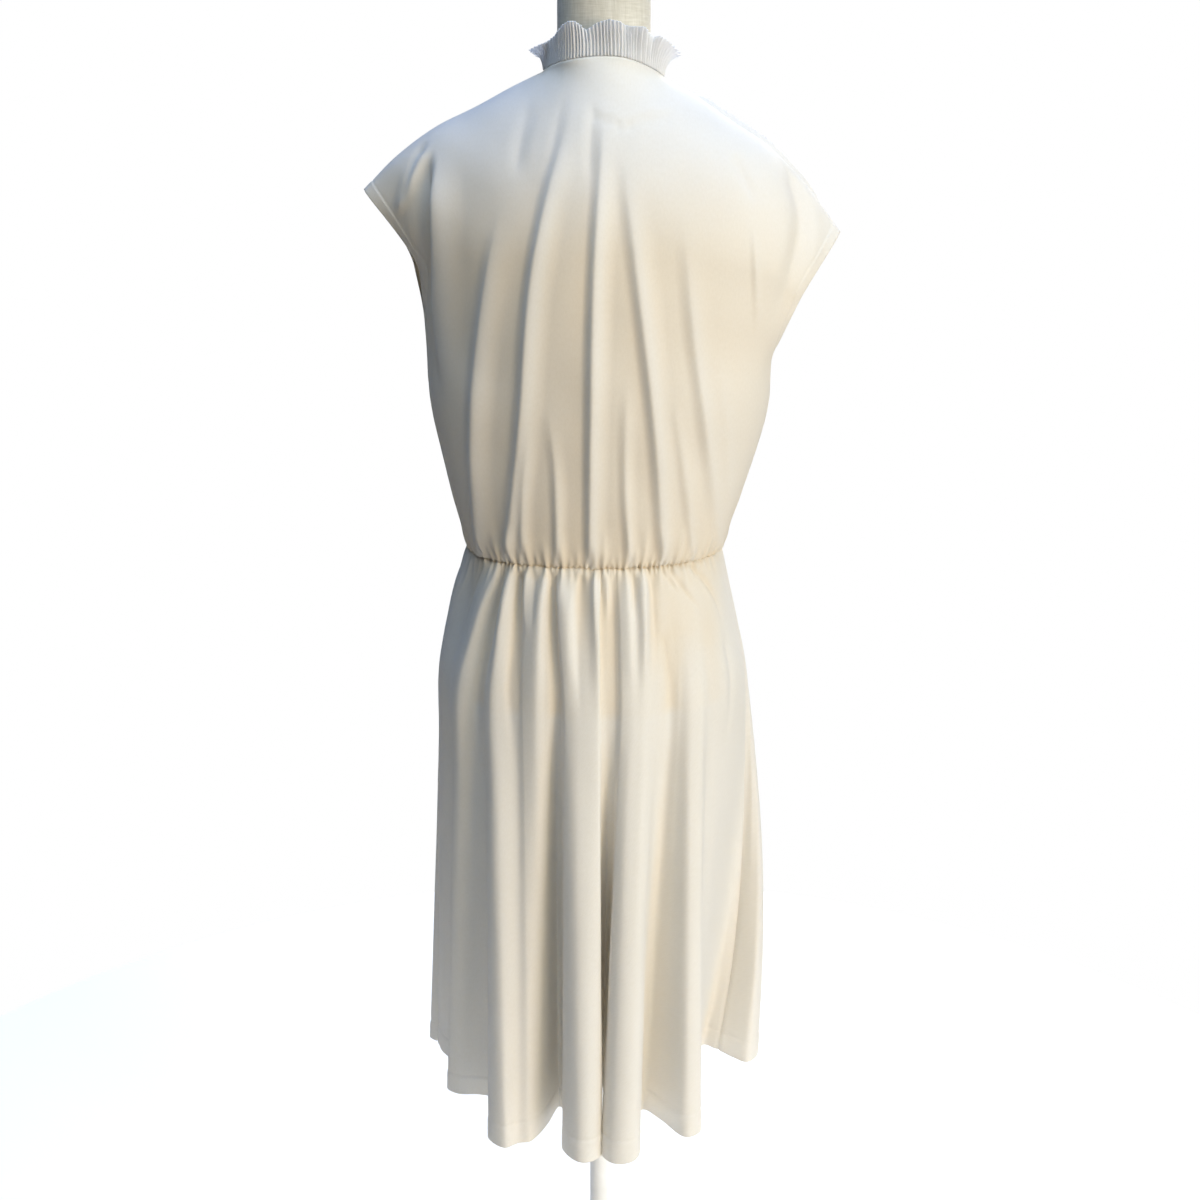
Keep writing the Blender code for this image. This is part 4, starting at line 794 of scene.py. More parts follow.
def ruffle_fine(levels, per_pleat):
    """The pleated collar's outer face: rows up, columns along the neck seam."""
    _, long = neck_seam(9)
    pleats = int(round(long / PLEAT_PITCH))
    count = pleats * per_pleat + 1
    base, _ = neck_seam(count)
    for _ in range(3):                         # round off the seam's polyline
        base[1:-1] = (base[:-2] + 2 * base[1:-1] + base[2:]) / 4
    middle = np.array([0.004, -0.004])
    tangent = unit(np.gradient(base, axis=0))
    smooth = np.cumsum(np.pad(tangent, ((12, 12), (0, 0)), mode="edge"), axis=0)
    tangent = unit(smooth[24:] - smooth[:-24]) if len(smooth) - 24 == count else tangent
    out = unit(np.stack([tangent[:, 1], -tangent[:, 0], np.zeros(count)], -1))
    flip = ((base[:, :2] - middle) * out[:, :2]).sum(-1) < 0
    out[flip] *= -1
    deg = np.degrees(np.arctan2(base[:, 0] - middle[0], base[:, 1] - middle[1]))
    deg = np.where(deg < -118, deg + 360, deg)
    at = col(RUFFLE_EDGE, 1)
    ext = np.concatenate([at[-2:] - 360, at, at[:2] + 360])
    vals = np.stack([col(RUFFLE_EDGE, 2), col(RUFFLE_EDGE, 3), col(RUFFLE_EDGE, 4)], -1)
    vals = np.concatenate([vals[-2:], vals, vals[:2]])
    got = curve(ext, vals, np.clip(deg, ext[0], ext[-1])) / 1000
    throw, drop, lean = got[:, 0], got[:, 1], got[:, 2]
    rng = np.random.default_rng(23)
    phase = np.arange(count) / per_pleat
    knots = np.arange(pleats + 2)
    jitter = np.interp(phase, knots, rng.uniform(-0.13, 0.13, pleats + 2))
    size = np.interp(phase, knots, rng.uniform(0.75, 1.15, pleats + 2))
    tall = np.interp(phase, knots, rng.uniform(-0.0006, 0.0006, pleats + 2))
    sway = np.interp(phase, np.linspace(0, pleats + 1, pleats // 3), rng.uniform(-0.0007, 0.0007, pleats // 3))
    w = np.sin(2 * np.pi * (phase + jitter))
    wave = np.sign(w) * np.abs(w) ** 0.8
    rows = []
    for h in levels:
        swing = (0.0012 + 0.0006 * ease(h * 1.3)) * size
        p = base + out * (throw * (0.18 * h + 0.82 * h**2) + wave * swing)[:, None]
        p += tangent * (lean * h**1.4 + sway * math.sin(math.pi * h) * 1.2)[:, None]
        p[:, 2] += 0.0006 + COLLAR_HIGH * (h - 0.10 * h**2) - drop * h**2 + tall * h
        rows.append(p)
    return np.array(rows), deg


# ------------------------------------------------------------ making meshes
def world(p):
    """Garment columns to the row's own axes."""
    q = np.empty_like(p)
    q[..., 0] = -p[..., 0]
    q[..., 1] = p[..., 1]
    q[..., 2] = p[..., 2] + LIFT
    return q


def new_object(name, verts, faces, mat, smooth=60, uv=None, near=None):
    mesh = bpy.data.meshes.new(name)
    mesh.from_pydata(np.asarray(verts, float).tolist(), [], [list(map(int, f)) for f in faces])
    mesh.validate()
    if uv is not None:
        layer = mesh.uv_layers.new(name="weave")
        at = np.empty(len(mesh.loops), np.int32)
        mesh.loops.foreach_get("vertex_index", at)
        layer.uv.foreach_set("vector", np.asarray(uv, np.float32)[at].ravel())
    if near is not None:
        mesh.attributes.new("form_valley_shade", "FLOAT", "POINT").data.foreach_set("value", np.asarray(near, np.float32))
    mesh.shade_smooth()
    if smooth < 180:
        mesh.set_sharp_from_angle(angle=math.radians(smooth))
    mesh.materials.append(mat)
    ob = bpy.data.objects.new(name, mesh)
    bpy.context.scene.collection.objects.link(ob)
    return ob


def form_valley_shade(grid, stand=None):
    """Painted warm shade on the cloth, for the form showing through it and the shade in the folds' valleys: 1 in a
    valley close to the form.
    """
    z = grid[..., 2]
    mid, half, behind, front = np.moveaxis(curve(col(FORM, 1), np.array([r[2:] for r in FORM]), z.ravel()), -1, 0)
    u, d = grid[..., 0].ravel() - mid, grid[..., 1].ravel()
    k = np.hypot(u / half, d / np.where(d > 0, behind, front))
    gap = ((1 - 1 / np.maximum(k, 1)) * np.hypot(u, d)).reshape(z.shape)
    if stand is None:        # the skirt: off the form by more than the cloth round it
        low = np.min([np.roll(gap, j, axis=1) for j in range(-30, 31, 3)], axis=0)
        low = np.mean([np.roll(low, j, axis=1) for j in range(-18, 19, 3)], axis=0)
        close = 0.10 * ease(1 - gap / 0.120) + 0.60 * np.exp(-gap / 0.040) * (1 - ease((gap - low) / 0.008))
        close = close * ease((0.150 - np.abs(grid[..., 0] + 0.005)) / 0.030)
    else:
        close = 0.12 * ease(1 - gap / 0.120) + 0.82 * np.exp(-gap / 0.032) * (1 - 0.95 * ease(stand / 0.0050))
    return close * ease((z - FORM_BOTTOM_Z + 0.004) / 0.010) * ease((1.385 - z) / 0.16)


def wall_object(name, grid, normals, thick, mat, uv=None, smooth=70, round_rim=True, near=None):
    """A closed wall: grid is its outer face, thick how deep, with rounded rims."""
    rows, cols = grid.shape[:2]
    thick = np.broadcast_to(np.asarray(thick, float), (rows, cols))
    outer = grid
    inner = grid - normals * thick[..., None]
    idx = np.arange(rows * cols).reshape(rows, cols)
    a, b, c, d = idx[:-1, :-1].ravel(), idx[:-1, 1:].ravel(), idx[1:, 1:].ravel(), idx[1:, :-1].ravel()
    w_out, w_n = world(outer).reshape(-1, 3), normals.copy()
    w_n[..., 0] *= -1
    mid = len(a) // 2
    turn = np.cross(w_out[b[mid]] - w_out[a[mid]], w_out[c[mid]] - w_out[a[mid]])
    if (turn * w_n.reshape(-1, 3)[a[mid]]).sum() > 0:
        quads = np.stack([a, b, c, d], -1)
        loop = np.concatenate([idx[0, :-1], idx[:-1, -1], idx[-1, :0:-1], idx[:0:-1, 0]])
    else:
        quads = np.stack([a, d, c, b], -1)
        loop = np.concatenate([idx[:-1, 0], idx[-1, :-1], idx[:0:-1, -1], idx[0, :0:-1]])
    count = rows * cols
    other = quads[:, ::-1] + count
    # which way each rim point looks, away from the wall
    away = np.zeros_like(outer)
    away[0] += unit(outer[0] - outer[1])
    away[-1] += unit(outer[-1] - outer[-2])
    away[:, 0] += unit(outer[:, 0] - outer[:, 1])
    away[:, -1] += unit(outer[:, -1] - outer[:, -2])
    away = unit(away).reshape(-1, 3)
    rim_mid = ((outer + inner) / 2).reshape(-1, 3)[loop]
    rim_mid = rim_mid + away[loop] * (thick.reshape(-1)[loop] * (0.40 if round_rim else 0.0))[:, None]
    m = np.arange(len(loop)) + 2 * count
    m2 = np.roll(m, -1)
    o, o2 = loop, np.roll(loop, -1)
    i, i2 = loop + count, np.roll(loop, -1) + count
    faces = np.concatenate([quads, other,
                            np.stack([o2, o, m, m2], -1), np.stack([m2, m, i, i2], -1)])
    verts = np.concatenate([w_out, world(inner).reshape(-1, 3), world(rim_mid)])
    tex = None
    if uv is not None:
        flat = uv.reshape(-1, 2)
        tex = np.concatenate([flat, flat, flat[loop]])
    if near is not None:
        near = near.ravel()
        near = np.concatenate([near, near, near[loop]])
    return new_object(name, verts, faces, mat, smooth, tex, near)


def loft_object(name, rings, mat, smooth=40, in_world=False):
    """A solid through closed rings, capped by fans round each end's middle."""
    rings = np.asarray(rings, float)
    n, m = rings.shape[:2]
    pts = rings if in_world else world(rings)
    verts = pts.reshape(-1, 3)
    idx = np.arange(n * m).reshape(n, m)
    nxt = np.roll(idx, -1, axis=1)
    faces = np.stack([idx[:-1].ravel(), nxt[:-1].ravel(), nxt[1:].ravel(), idx[1:].ravel()], -1).tolist()
    ends = np.array([pts[0].mean(0), pts[-1].mean(0)])
    verts = np.concatenate([verts, ends])
    faces += [[int(nxt[0, i]), int(idx[0, i]), n * m] for i in range(m)]
    faces += [[int(idx[-1, i]), int(nxt[-1, i]), n * m + 1] for i in range(m)]
    vol = 0.0
    for f in faces[:: max(1, len(faces) // 4000)]:
        p = verts[f[0]], verts[f[1]], verts[f[2]]
        vol += np.dot(p[0] - ends.mean(0), np.cross(p[1] - ends.mean(0), p[2] - ends.mean(0)))
    if vol < 0:
        faces = [f[::-1] for f in faces]
    return new_object(name, verts, faces, mat, smooth)


def turned_object(name, profile, centre, mat, count=96, lift=0.0):
    a = np.linspace(0, 2 * math.pi, count, endpoint=False)
    rings = [np.stack([np.full(count, -centre[0]) + r * np.sin(a), centre[1] + r * np.cos(a), np.full(count, z + lift)], -1)
             for r, z in profile]
    return loft_object(name, rings, mat, in_world=True)


def rounded(profile, size=0.0012, steps=4):
    """A turned profile with its corners rounded off."""
    pts = np.array(profile, float)
    out = [pts[0]]
    for p, q, r in zip(pts[:-2], pts[1:-1], pts[2:]):
        a, b = np.linalg.norm(p - q), np.linalg.norm(r - q)
        k = min(size, a * 0.45, b * 0.45)
        s, e = q + (p - q) / a * k, q + (r - q) / b * k
        for t in np.linspace(0, 1, steps + 1):
            out.append((1 - t) ** 2 * s + 2 * t * (1 - t) * q + t**2 * e)
    out.append(pts[-1])
    return out


def thread_bits(name, bits, radius, mat, sides=6):
    """Short sewn threads: each bit is its two ends and the way off the cloth."""
    verts, faces = [], []
    for a, b, off in bits:
        a, b, off = np.asarray(a, float), np.asarray(b, float), unit(np.asarray(off, float))
        along = unit(b - a)
        side = unit(np.cross(along, off))
        off = np.cross(side, along)
        first = len(verts)
        stations = ((0.0, 0.35, -0.9), (0.10, 0.8, -0.3), (0.5, 1.0, 0.35), (0.90, 0.8, -0.3), (1.0, 0.35, -0.9))
        for t, r, h in stations:
            c = a + (b - a) * t + off * radius * h
            for i in range(sides):
                w = 2 * math.pi * i / sides
                verts.append(c + (side * math.cos(w) + off * math.sin(w)) * radius * r)
        for k in range(len(stations) - 1):
            for i in range(sides):
                j = (i + 1) % sides
                faces.append((first + k * sides + i, first + k * sides + j,
                              first + (k + 1) * sides + j, first + (k + 1) * sides + i))
        faces.append(tuple(first + i for i in reversed(range(sides))))
        faces.append(tuple(first + (len(stations) - 1) * sides + i for i in range(sides)))
    return new_object(name, world(np.array(verts)), [f[::-1] for f in faces], mat, 70)


def stitches_on(line, normals, pitch, length, seed):
    """Uneven running stitches along a line of points on the cloth."""
    rng = np.random.default_rng(seed)
    run = np.concatenate([[0], np.cumsum(np.linalg.norm(np.diff(line, axis=0), axis=1))])
    place = lambda s: np.array([np.interp(s, run, line[:, k]) for k in range(3)])
    look = lambda s: unit(np.array([np.interp(s, run, normals[:, k]) for k in range(3)]))
    bits, s = [], pitch * 0.5
    while s + length < run[-1]:
        size = length * rng.uniform(0.88, 1.1)
        off = look(s + size / 2)
        bits.append((place(s), place(s + size), off))
        s += pitch * rng.uniform(0.95, 1.05)
    return bits


# ------------------------------------------------------------ the materials
class Nodes:
    """Short hand for building one material's node tree."""

    def __init__(self, name):
        self.mat = bpy.data.materials.new(name)
        self.mat.use_nodes = True
        self.tree = self.mat.node_tree
        self.shader = self.tree.nodes["Principled BSDF"]
        self.output = self.tree.nodes["Material Output"]

    def add(self, kind, **values):
        node = self.tree.nodes.new(kind)
        for key, value in values.items():
            setattr(node, key, value)
        return node

    def put(self, node, **values):
        for key, value in values.items():
            node.inputs[key.replace("_", " ")].default_value = value
        return node

    def link(self, a, b):
        self.tree.links.new(a, b)

    def noise(self, source, scale, detail=2.0, rough=0.5, stretch=None):
        node = self.add("ShaderNodeTexNoise")
        node.inputs["Scale"].default_value = scale
        node.inputs["Detail"].default_value = detail
        node.inputs["Roughness"].default_value = rough
        if stretch is not None:
            spread = self.add("ShaderNodeMapping")
            spread.inputs["Scale"].default_value = stretch
            self.link(source, spread.inputs["Vector"])
            source = spread.outputs["Vector"]
        self.link(source, node.inputs["Vector"])
        return node.outputs["Fac"]

    def maths(self, how, a, b=None, c=None):
        node = self.add("ShaderNodeMath", operation=how)
        for k, v in enumerate((a, b, c)):
            if v is None:
                continue
            if isinstance(v, (int, float)):
                node.inputs[k].default_value = v
            else:
                self.link(v, node.inputs[k])
        return node.outputs[0]

    def range(self, value, a, b, c, d):
        node = self.add("ShaderNodeMapRange")
        self.link(value, node.inputs["Value"])
        for key, v in (("From Min", a), ("From Max", b), ("To Min", c), ("To Max", d)):
            node.inputs[key].default_value = v
        return node.outputs["Result"]

    def blend(self, fac, one, two):
        node = self.add("ShaderNodeMix", data_type="RGBA")
        if isinstance(fac, (int, float)):
            node.inputs["Factor"].default_value = fac
        else:
            self.link(fac, node.inputs["Factor"])
        for key, v in (("A", one), ("B", two)):
            sock = [i for i in node.inputs if i.name == key and i.type == "RGBA"][0]
            if isinstance(v, tuple):
                sock.default_value = v
            else:
                self.link(v, sock)
        return [o for o in node.outputs if o.type == "RGBA"][0]

    def bump(self, height, strength, distance, before=None):
        node = self.add("ShaderNodeBump")
        node.inputs["Strength"].default_value = strength
        node.inputs["Distance"].default_value = distance
        self.link(height, node.inputs["Height"])
        if before is not None:
            self.link(before, node.inputs["Normal"])
        return node.outputs["Normal"]


def rgb(r, g, b):
    return (r, g, b, 1.0)


def cloth_material(name, light, dark, glow, see_through, weave_scale, twill):
    """Smooth polyester crepe: fine twill threads, crepe grain and a soft sheen."""
    m = Nodes(name)
    where = m.add("ShaderNodeUVMap", uv_map="weave").outputs["UV"]
    place = m.add("ShaderNodeTexCoord").outputs["Object"]
    warp = m.noise(where, weave_scale, 1.5, 0.5, stretch=(1.0, 0.16, 1.0))
    weft = m.noise(where, weave_scale, 1.5, 0.5, stretch=(0.16, 1.0, 1.0))
    diag = m.add("ShaderNodeTexWave", wave_type="BANDS", bands_direction="DIAGONAL")
    diag.inputs["Scale"].default_value = twill
    diag.inputs["Distortion"].default_value = 1.2
    diag.inputs["Detail"].default_value = 1.0
    m.link(where, diag.inputs["Vector"])
    threads = m.maths("ADD", m.maths("MULTIPLY", m.maths("ADD", warp, weft), 0.5),
                      m.maths("MULTIPLY", diag.outputs["Fac"], 0.30))
    soft = m.noise(place, 9.0, 3.0, 0.55)
    tone = m.range(soft, 0.35, 0.65, 0.25, 0.75)
    tone = m.maths("ADD", m.maths("MULTIPLY", tone, 0.55), m.maths("MULTIPLY", m.range(threads, 0.4, 0.9, 0.0, 1.0), 0.45))
    grain = m.noise(where, 460.0, 3.0, 0.7, stretch=(1.0, 0.45, 1.0))
    tone = m.maths("ADD", tone, m.range(grain, 0.3, 0.7, -0.55, 0.55))
    # painted warm shade: base colour and glow turn darker and warmer in the valleys close to the form, for the form
    # showing through and the shade there
    near = m.add("ShaderNodeAttribute", attribute_name="form_valley_shade").outputs["Fac"]
    valley_shade_tint = lambda c: rgb(c[0] * 1.02, c[1] * 0.92, c[2] * 0.75)
    colour = m.blend(tone, m.blend(near, dark, valley_shade_tint(dark)), m.blend(near, light, valley_shade_tint(light)))
    m.link(colour, m.shader.inputs["Base Color"])
    crepe = m.noise(where, 900.0, 2.0, 0.6)
    height = m.maths("ADD", threads, m.maths("MULTIPLY", crepe, 0.5))
    normal = m.bump(height, 0.34, 0.0003)
    m.link(normal, m.shader.inputs["Normal"])
    m.link(m.range(threads, 0.3, 1.0, 0.66, 0.54), m.shader.inputs["Roughness"])
    m.put(m.shader, Sheen_Weight=0.22, Sheen_Roughness=0.45, IOR=1.46, Specular_IOR_Level=0.40)
    m.shader.inputs["Sheen Tint"].default_value = rgb(1.0, 0.98, 0.95)
    through = m.add("ShaderNodeBsdfTranslucent")
    m.link(m.blend(near, glow, valley_shade_tint(glow)), through.inputs["Color"])
    m.link(normal, through.inputs["Normal"])
    mix = m.add("ShaderNodeMixShader")
    mix.inputs["Fac"].default_value = see_through
    m.link(m.shader.outputs["BSDF"], mix.inputs[1])
    m.link(through.outputs["BSDF"], mix.inputs[2])
    m.link(mix.outputs["Shader"], m.output.inputs["Surface"])
    return m.mat


def linen_material():
    """Natural linen stretched over the form: crossed slubby threads."""
    m = Nodes("form_linen_woven")
    place = m.add("ShaderNodeTexCoord").outputs["Object"]
    up = m.noise(place, 700.0, 2.0, 0.6, stretch=(1.0, 1.0, 0.07))
    cross = m.noise(place, 700.0, 2.0, 0.6, stretch=(0.09, 0.09, 1.0))
    slub = m.noise(place, 120.0, 3.0, 0.6, stretch=(1.0, 1.0, 0.12))
    threads = m.maths("ADD", m.maths("MULTIPLY", m.maths("ADD", up, cross), 0.5), m.maths("MULTIPLY", slub, 0.4))
    big = m.noise(place, 14.0, 2.0, 0.5)
    tone = m.maths("ADD", m.maths("MULTIPLY", m.range(threads, 0.45, 0.95, 0.0, 1.0), 0.75), m.maths("MULTIPLY", big, 0.25))
    m.link(m.blend(tone, rgb(0.47, 0.43, 0.34), rgb(0.76, 0.72, 0.63)), m.shader.inputs["Base Color"])
    m.link(m.bump(threads, 0.55, 0.0006), m.shader.inputs["Normal"])
    m.link(m.range(threads, 0.3, 1.0, 0.92, 0.78), m.shader.inputs["Roughness"])
    m.put(m.shader, Sheen_Weight=0.10, Sheen_Roughness=0.5, Specular_IOR_Level=0.25)
    return m.mat


def paint_material():
    """Satin paint on turned metal and wood, with a fine orange peel."""
    m = Nodes("stand_paint_satin")
    place = m.add("ShaderNodeTexCoord").outputs["Object"]
    peel = m.noise(place, 420.0, 2.0, 0.5)
    dust = m.noise(place, 24.0, 4.0, 0.6)
    m.link(m.blend(m.range(dust, 0.35, 0.7, 0.0, 1.0), rgb(0.82, 0.81, 0.78), rgb(0.90, 0.89, 0.87)), m.shader.inputs["Base Color"])
    m.link(m.bump(peel, 0.10, 0.0003), m.shader.inputs["Normal"])
    m.link(m.range(dust, 0.3, 0.7, 0.30, 0.42), m.shader.inputs["Roughness"])
    m.put(m.shader, Coat_Weight=0.15, Coat_Roughness=0.25)
    return m.mat


def button_material():
    """Pearly ivory plastic with faint moulded swirls."""
    m = Nodes("button_pearl")
    place = m.add("ShaderNodeTexCoord").outputs["Object"]
    swirl = m.add("ShaderNodeTexWave", wave_type="RINGS")
    swirl.inputs["Scale"].default_value = 90.0
    swirl.inputs["Distortion"].default_value = 6.0
    swirl.inputs["Detail"].default_value = 3.0
    m.link(place, swirl.inputs["Vector"])
    m.link(m.blend(swirl.outputs["Fac"], rgb(0.84, 0.80, 0.71), rgb(0.91, 0.89, 0.83)), m.shader.inputs["Base Color"])
    m.link(m.range(swirl.outputs["Fac"], 0.0, 1.0, 0.22, 0.30), m.shader.inputs["Roughness"])
    m.put(m.shader, Coat_Weight=0.35, Coat_Roughness=0.12, Subsurface_Weight=0.12)
    m.shader.inputs["Subsurface Radius"].default_value = (0.0015, 0.0012, 0.0009)
    return m.mat


def elastic_material():
    m = Nodes("elastic_ribbed")
    place = m.add("ShaderNodeTexCoord").outputs["Object"]
    ribs = m.noise(place, 900.0, 1.0, 0.5, stretch=(0.08, 0.08, 1.0))
    m.link(m.blend(ribs, rgb(0.78, 0.76, 0.70), rgb(0.90, 0.89, 0.86)), m.shader.inputs["Base Color"])
    m.link(m.bump(ribs, 0.6, 0.0005), m.shader.inputs["Normal"])
    m.link(m.range(ribs, 0.3, 0.7, 0.85, 0.70), m.shader.inputs["Roughness"])
    return m.mat


def thread_material():
    m = Nodes("sewing_thread")
    place = m.add("ShaderNodeTexCoord").outputs["Object"]
    twist = m.noise(place, 2500.0, 1.0, 0.5)
    m.link(m.blend(twist, rgb(0.80, 0.77, 0.69), rgb(0.92, 0.90, 0.85)), m.shader.inputs["Base Color"])
    m.link(m.bump(twist, 0.4, 0.0001), m.shader.inputs["Normal"])
    m.put(m.shader, Roughness=0.55, Sheen_Weight=0.2)
    return m.mat


CLOTH = cloth_material("dress_cloth_crepe", rgb(0.93, 0.898, 0.85), rgb(0.88, 0.843, 0.785), rgb(0.95, 0.905, 0.80), 0.32, 1500.0, 420.0)
# painted light: the ruffle's crepe is a cooler, lighter white than the dress's, for the cool sky light falling on the
# collar
RUFFLE_CLOTH = cloth_material("ruffle_cloth_crepe", rgb(0.96, 0.96, 0.97), rgb(0.91, 0.91, 0.93), rgb(0.96, 0.97, 0.98), 0.40, 1700.0, 480.0)
LINEN = linen_material()
PAINT = paint_material()
PEARL = button_material()
ELASTIC = elastic_material()
THREAD = thread_material()


def done(ob, slot, *nodes):
    """Rides on the one body and hides the model's parts it stands for; slot, its finish, is not used."""
    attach(ob, "root")
    if nodes:
        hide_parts(*nodes)
    return ob


# ------------------------------------------------------------ form and stand
def form_ring(z, mid, half, behind, front, count=128, grow=0.0):
    a = np.linspace(0, 2 * math.pi, count, endpoint=False)
    c, s = np.cos(a), np.sin(a)
    u = mid + (half + grow) * np.sign(s) * np.abs(s) ** 0.95
    d = np.where(c > 0, behind + grow, front + grow) * np.sign(c) * np.abs(c) ** 0.95
    return np.stack([u, d, np.full(count, z)], -1)


def smooth_ring(z, mid, half, behind, front, count=128, grow=0.0):
    ring = form_ring(z, mid, half, behind, front, count, grow)
    for _ in range(2):
        ring = (np.roll(ring, 1, 0) + 2 * ring + np.roll(ring, -1, 0)) / 4
    return ring


def make_form():
    sizes = np.array([r[2:] for r in FORM])
    zs = np.concatenate([np.linspace(0.772, 0.79, 10)[:-1], np.linspace(0.79, 1.32, 54)[:-1],
                         np.linspace(1.32, 1.44, 60)[:-1], np.linspace(1.44, NECK_TOP_Z, 26)])
    fine = curve(col(FORM, 1), sizes, zs)
    rings = [smooth_ring(z, *row) for z, row in zip(zs, fine)]
    first = [smooth_ring(0.772, *FORM[0][2:], grow=g) for g in (-0.06, -0.02, -0.004)]
    rings = first[:2] + [smooth_ring(0.7722, *FORM[0][2:], grow=-0.0025)] + rings
    rings += [smooth_ring(NECK_TOP_Z, *FORM[-1][2:], grow=g) for g in (-0.0008, -0.012, -0.03)]
    done(loft_object("dress_form_body", rings, LINEN, smooth=50), "form_linen", "form_torso")
    _, z, mid, half, behind, front = FORM[0]
    rings = [smooth_ring(z - 0.0103, mid, half, behind, front, grow=g) for g in (-0.09, -0.05, -0.012)]
    rings += [smooth_ring(z - h, mid, half, behind, front, grow=g)
              for h, g in ((0.0103, -0.0105), (0.0096, -0.0085), (0.0080, -0.0068), (0.0060, -0.0060), (0.0003, -0.0060))]
    rings += [smooth_ring(z - 0.0003, mid, half, behind, front, grow=g) for g in (-0.02, -0.07)]
    done(loft_object("dress_form_underside", rings, PAINT, smooth=35), "stand_paint", "form_underside")
    top = NECK_TOP_Z + 0.0003
    cap = rounded([(0.0440, top), (0.0455, top + 0.003), (0.0440, top + 0.007), (0.0300, top + 0.012), (0.0120, top + 0.015)], 0.003, 5)
    cap = [(0.012, top), (0.034, top)] + cap + [(0.006, top + 0.0152)]
    done(turned_object("dress_form_neck_cap", cap, (0.004, 0.0), PAINT, lift=LIFT), "stand_paint", "form_neck_cap")


def make_stand():
    under = LIFT + FORM_BOTTOM_Z - 0.0103 - 0.0003
    low, high = BASE_THICK + 0.0303, under - 0.0303
    pole = [(0.004, low), (POLE_R - 0.0006, low), (POLE_R, low + 0.0006)] + \
           [(POLE_R, z) for z in np.linspace(low + 0.02, high - 0.02, 24)] + \
           [(POLE_R, high - 0.0006), (POLE_R - 0.0006, high), (0.004, high)]
    done(turned_object("stand_pole_round", pole, (0, 0), PAINT, 64), "stand_paint", "stand_pole")
    socket = [(0.010, BASE_THICK + 0.0003), (0.026, BASE_THICK + 0.0003), (0.026, BASE_THICK + 0.006),
              (0.018, BASE_THICK + 0.012), (0.017, BASE_THICK + 0.030), (0.008, BASE_THICK + 0.030)]
    done(turned_object("stand_socket_round", rounded(socket, 0.0014), (0, 0), PAINT, 72), "stand_paint", "stand_socket")
    collar = [(0.008, under - 0.030), (0.017, under - 0.030), (0.018, under - 0.012), (0.030, under - 0.005),
              (0.030, under), (0.010, under)]
    done(turned_object("stand_collar_round", rounded(collar, 0.0014), (0, 0), PAINT, 72), "stand_paint", "stand_collar")
    base = [(0.04, 0.0), (BASE_R, 0.0), (BASE_R, BASE_THICK * 0.55), (BASE_R - 0.003, BASE_THICK * 0.85),
            (BASE_R - 0.010, BASE_THICK), (0.05, BASE_THICK)]
    done(turned_object("stand_base_round", rounded(base, 0.0016, 5), (0, 0), PAINT, 144), "stand_paint", "stand_base")


# ------------------------------------------------------------ the dress
def bodice_steps(count_low, count_mid, count_top):
    return np.concatenate([[0, 0.0006], np.linspace(0, 0.10, count_low)[1:-1], np.linspace(0.10, 0.95, count_mid)[:-1],
                           np.linspace(0.95, 1.0, count_top)])


def side_steps(count):
    """Places across a half panel, closer together at the side and sleeve edge."""
    return np.concatenate([np.linspace(0, 0.93, count)[:-1], np.linspace(0.93, 1.0, 16)])


def sew_cloth_panel(name, panel, s, t, node, mid_edge=None):
    grid, thick, uv, edge, top = bodice_fine(panel, s, t)
    n = grid_normals(grid)
    n = seam_normals(panel, n, s, t)
    if mid_edge is not None:
        c = -1 if s[0] < -0.5 else 0
        grid[:, c, 0] = mid_edge
        n[:, c, 0] = 0
        n[:, c] = unit(n[:, c])
    ob = wall_object(name, grid, n, thick, CLOTH, uv, near=form_valley_shade(grid, long_folds(panel, bodice(panel, s, t))))
    done(ob, "dress_cloth", node)
    return ob, grid, n, edge, top


def make_bodice():
    half = side_steps(178)
    s = np.concatenate([-half[::-1], half[1:]])
    t = bodice_steps(28, 84, 12)
    parts = {}
    parts["back"] = sew_cloth_panel("bodice_back_cloth", "back", s, t, "bodice_back")
    half = side_steps(160)
    t = bodice_steps(24, 66, 11)
    for name, side in (("left", -1), ("right", 1)):
        s = half * side
        if side < 0:
            s = s[::-1]
        parts[name] = sew_cloth_panel("bodice_front_%s_cloth" % name, "front", s, t, "bodice_front_" + name, side * SEAM_GAP / 2)
    # rows of stitches on the sleeve hems
    for k, (ob, grid, n, edge, top) in parts.items():
        bits = []
        side_t = 0.44
        tt = bodice_steps(28, 84, 12) if k == "back" else bodice_steps(24, 66, 11)
        rows = np.where(tt > side_t + 0.03)[0]
        sides = {"back": (-1, 1), "left": (-1,), "right": (1,)}[k]
        for side in sides:
            line, look = [], []
            for r in rows[:-1]:
                e = edge[r]
                cols = np.arange(len(e))
                mine = cols < len(e) // 2 if (side < 0) else cols >= len(e) // 2
                near = np.where(mine & (e < 0.03))[0]
                order = near[np.argsort(e[near])]
                p = np.array([np.interp(0.0108, e[order], grid[r, order, q]) for q in range(3)])
                line.append(p)
                look.append(n[r, order[np.argmin(np.abs(e[order] - 0.0108))]])
            bits += stitches_on(np.array(line), np.array(look), 0.0031, 0.0023, 60 + side)
        a = thread_bits("stitches_sleeve_%s" % k, bits, 0.00018, THREAD)
        done(a, "dress_cloth")
    return parts


def make_neck_stitches(parts):
    bits = []
    for k, (ob, grid, n, edge, top) in parts.items():
        cols = np.where(np.abs(np.asarray(NECK_COLS[k])) <= NECK_S)[0]
        line, look = [], []
        for c in cols:
            e = top[:, c]
            order = np.argsort(e)[:14]
            line.append(np.array([np.interp(0.0030, e[order], grid[order, c, q]) for q in range(3)]))
            look.append(n[order[np.argmin(np.abs(e[order] - 0.003))], c])
        bits += stitches_on(np.array(line), np.array(look), 0.0026, 0.0019, 90)
    done(thread_bits("stitches_neck", bits, 0.00017, THREAD), "dress_cloth")


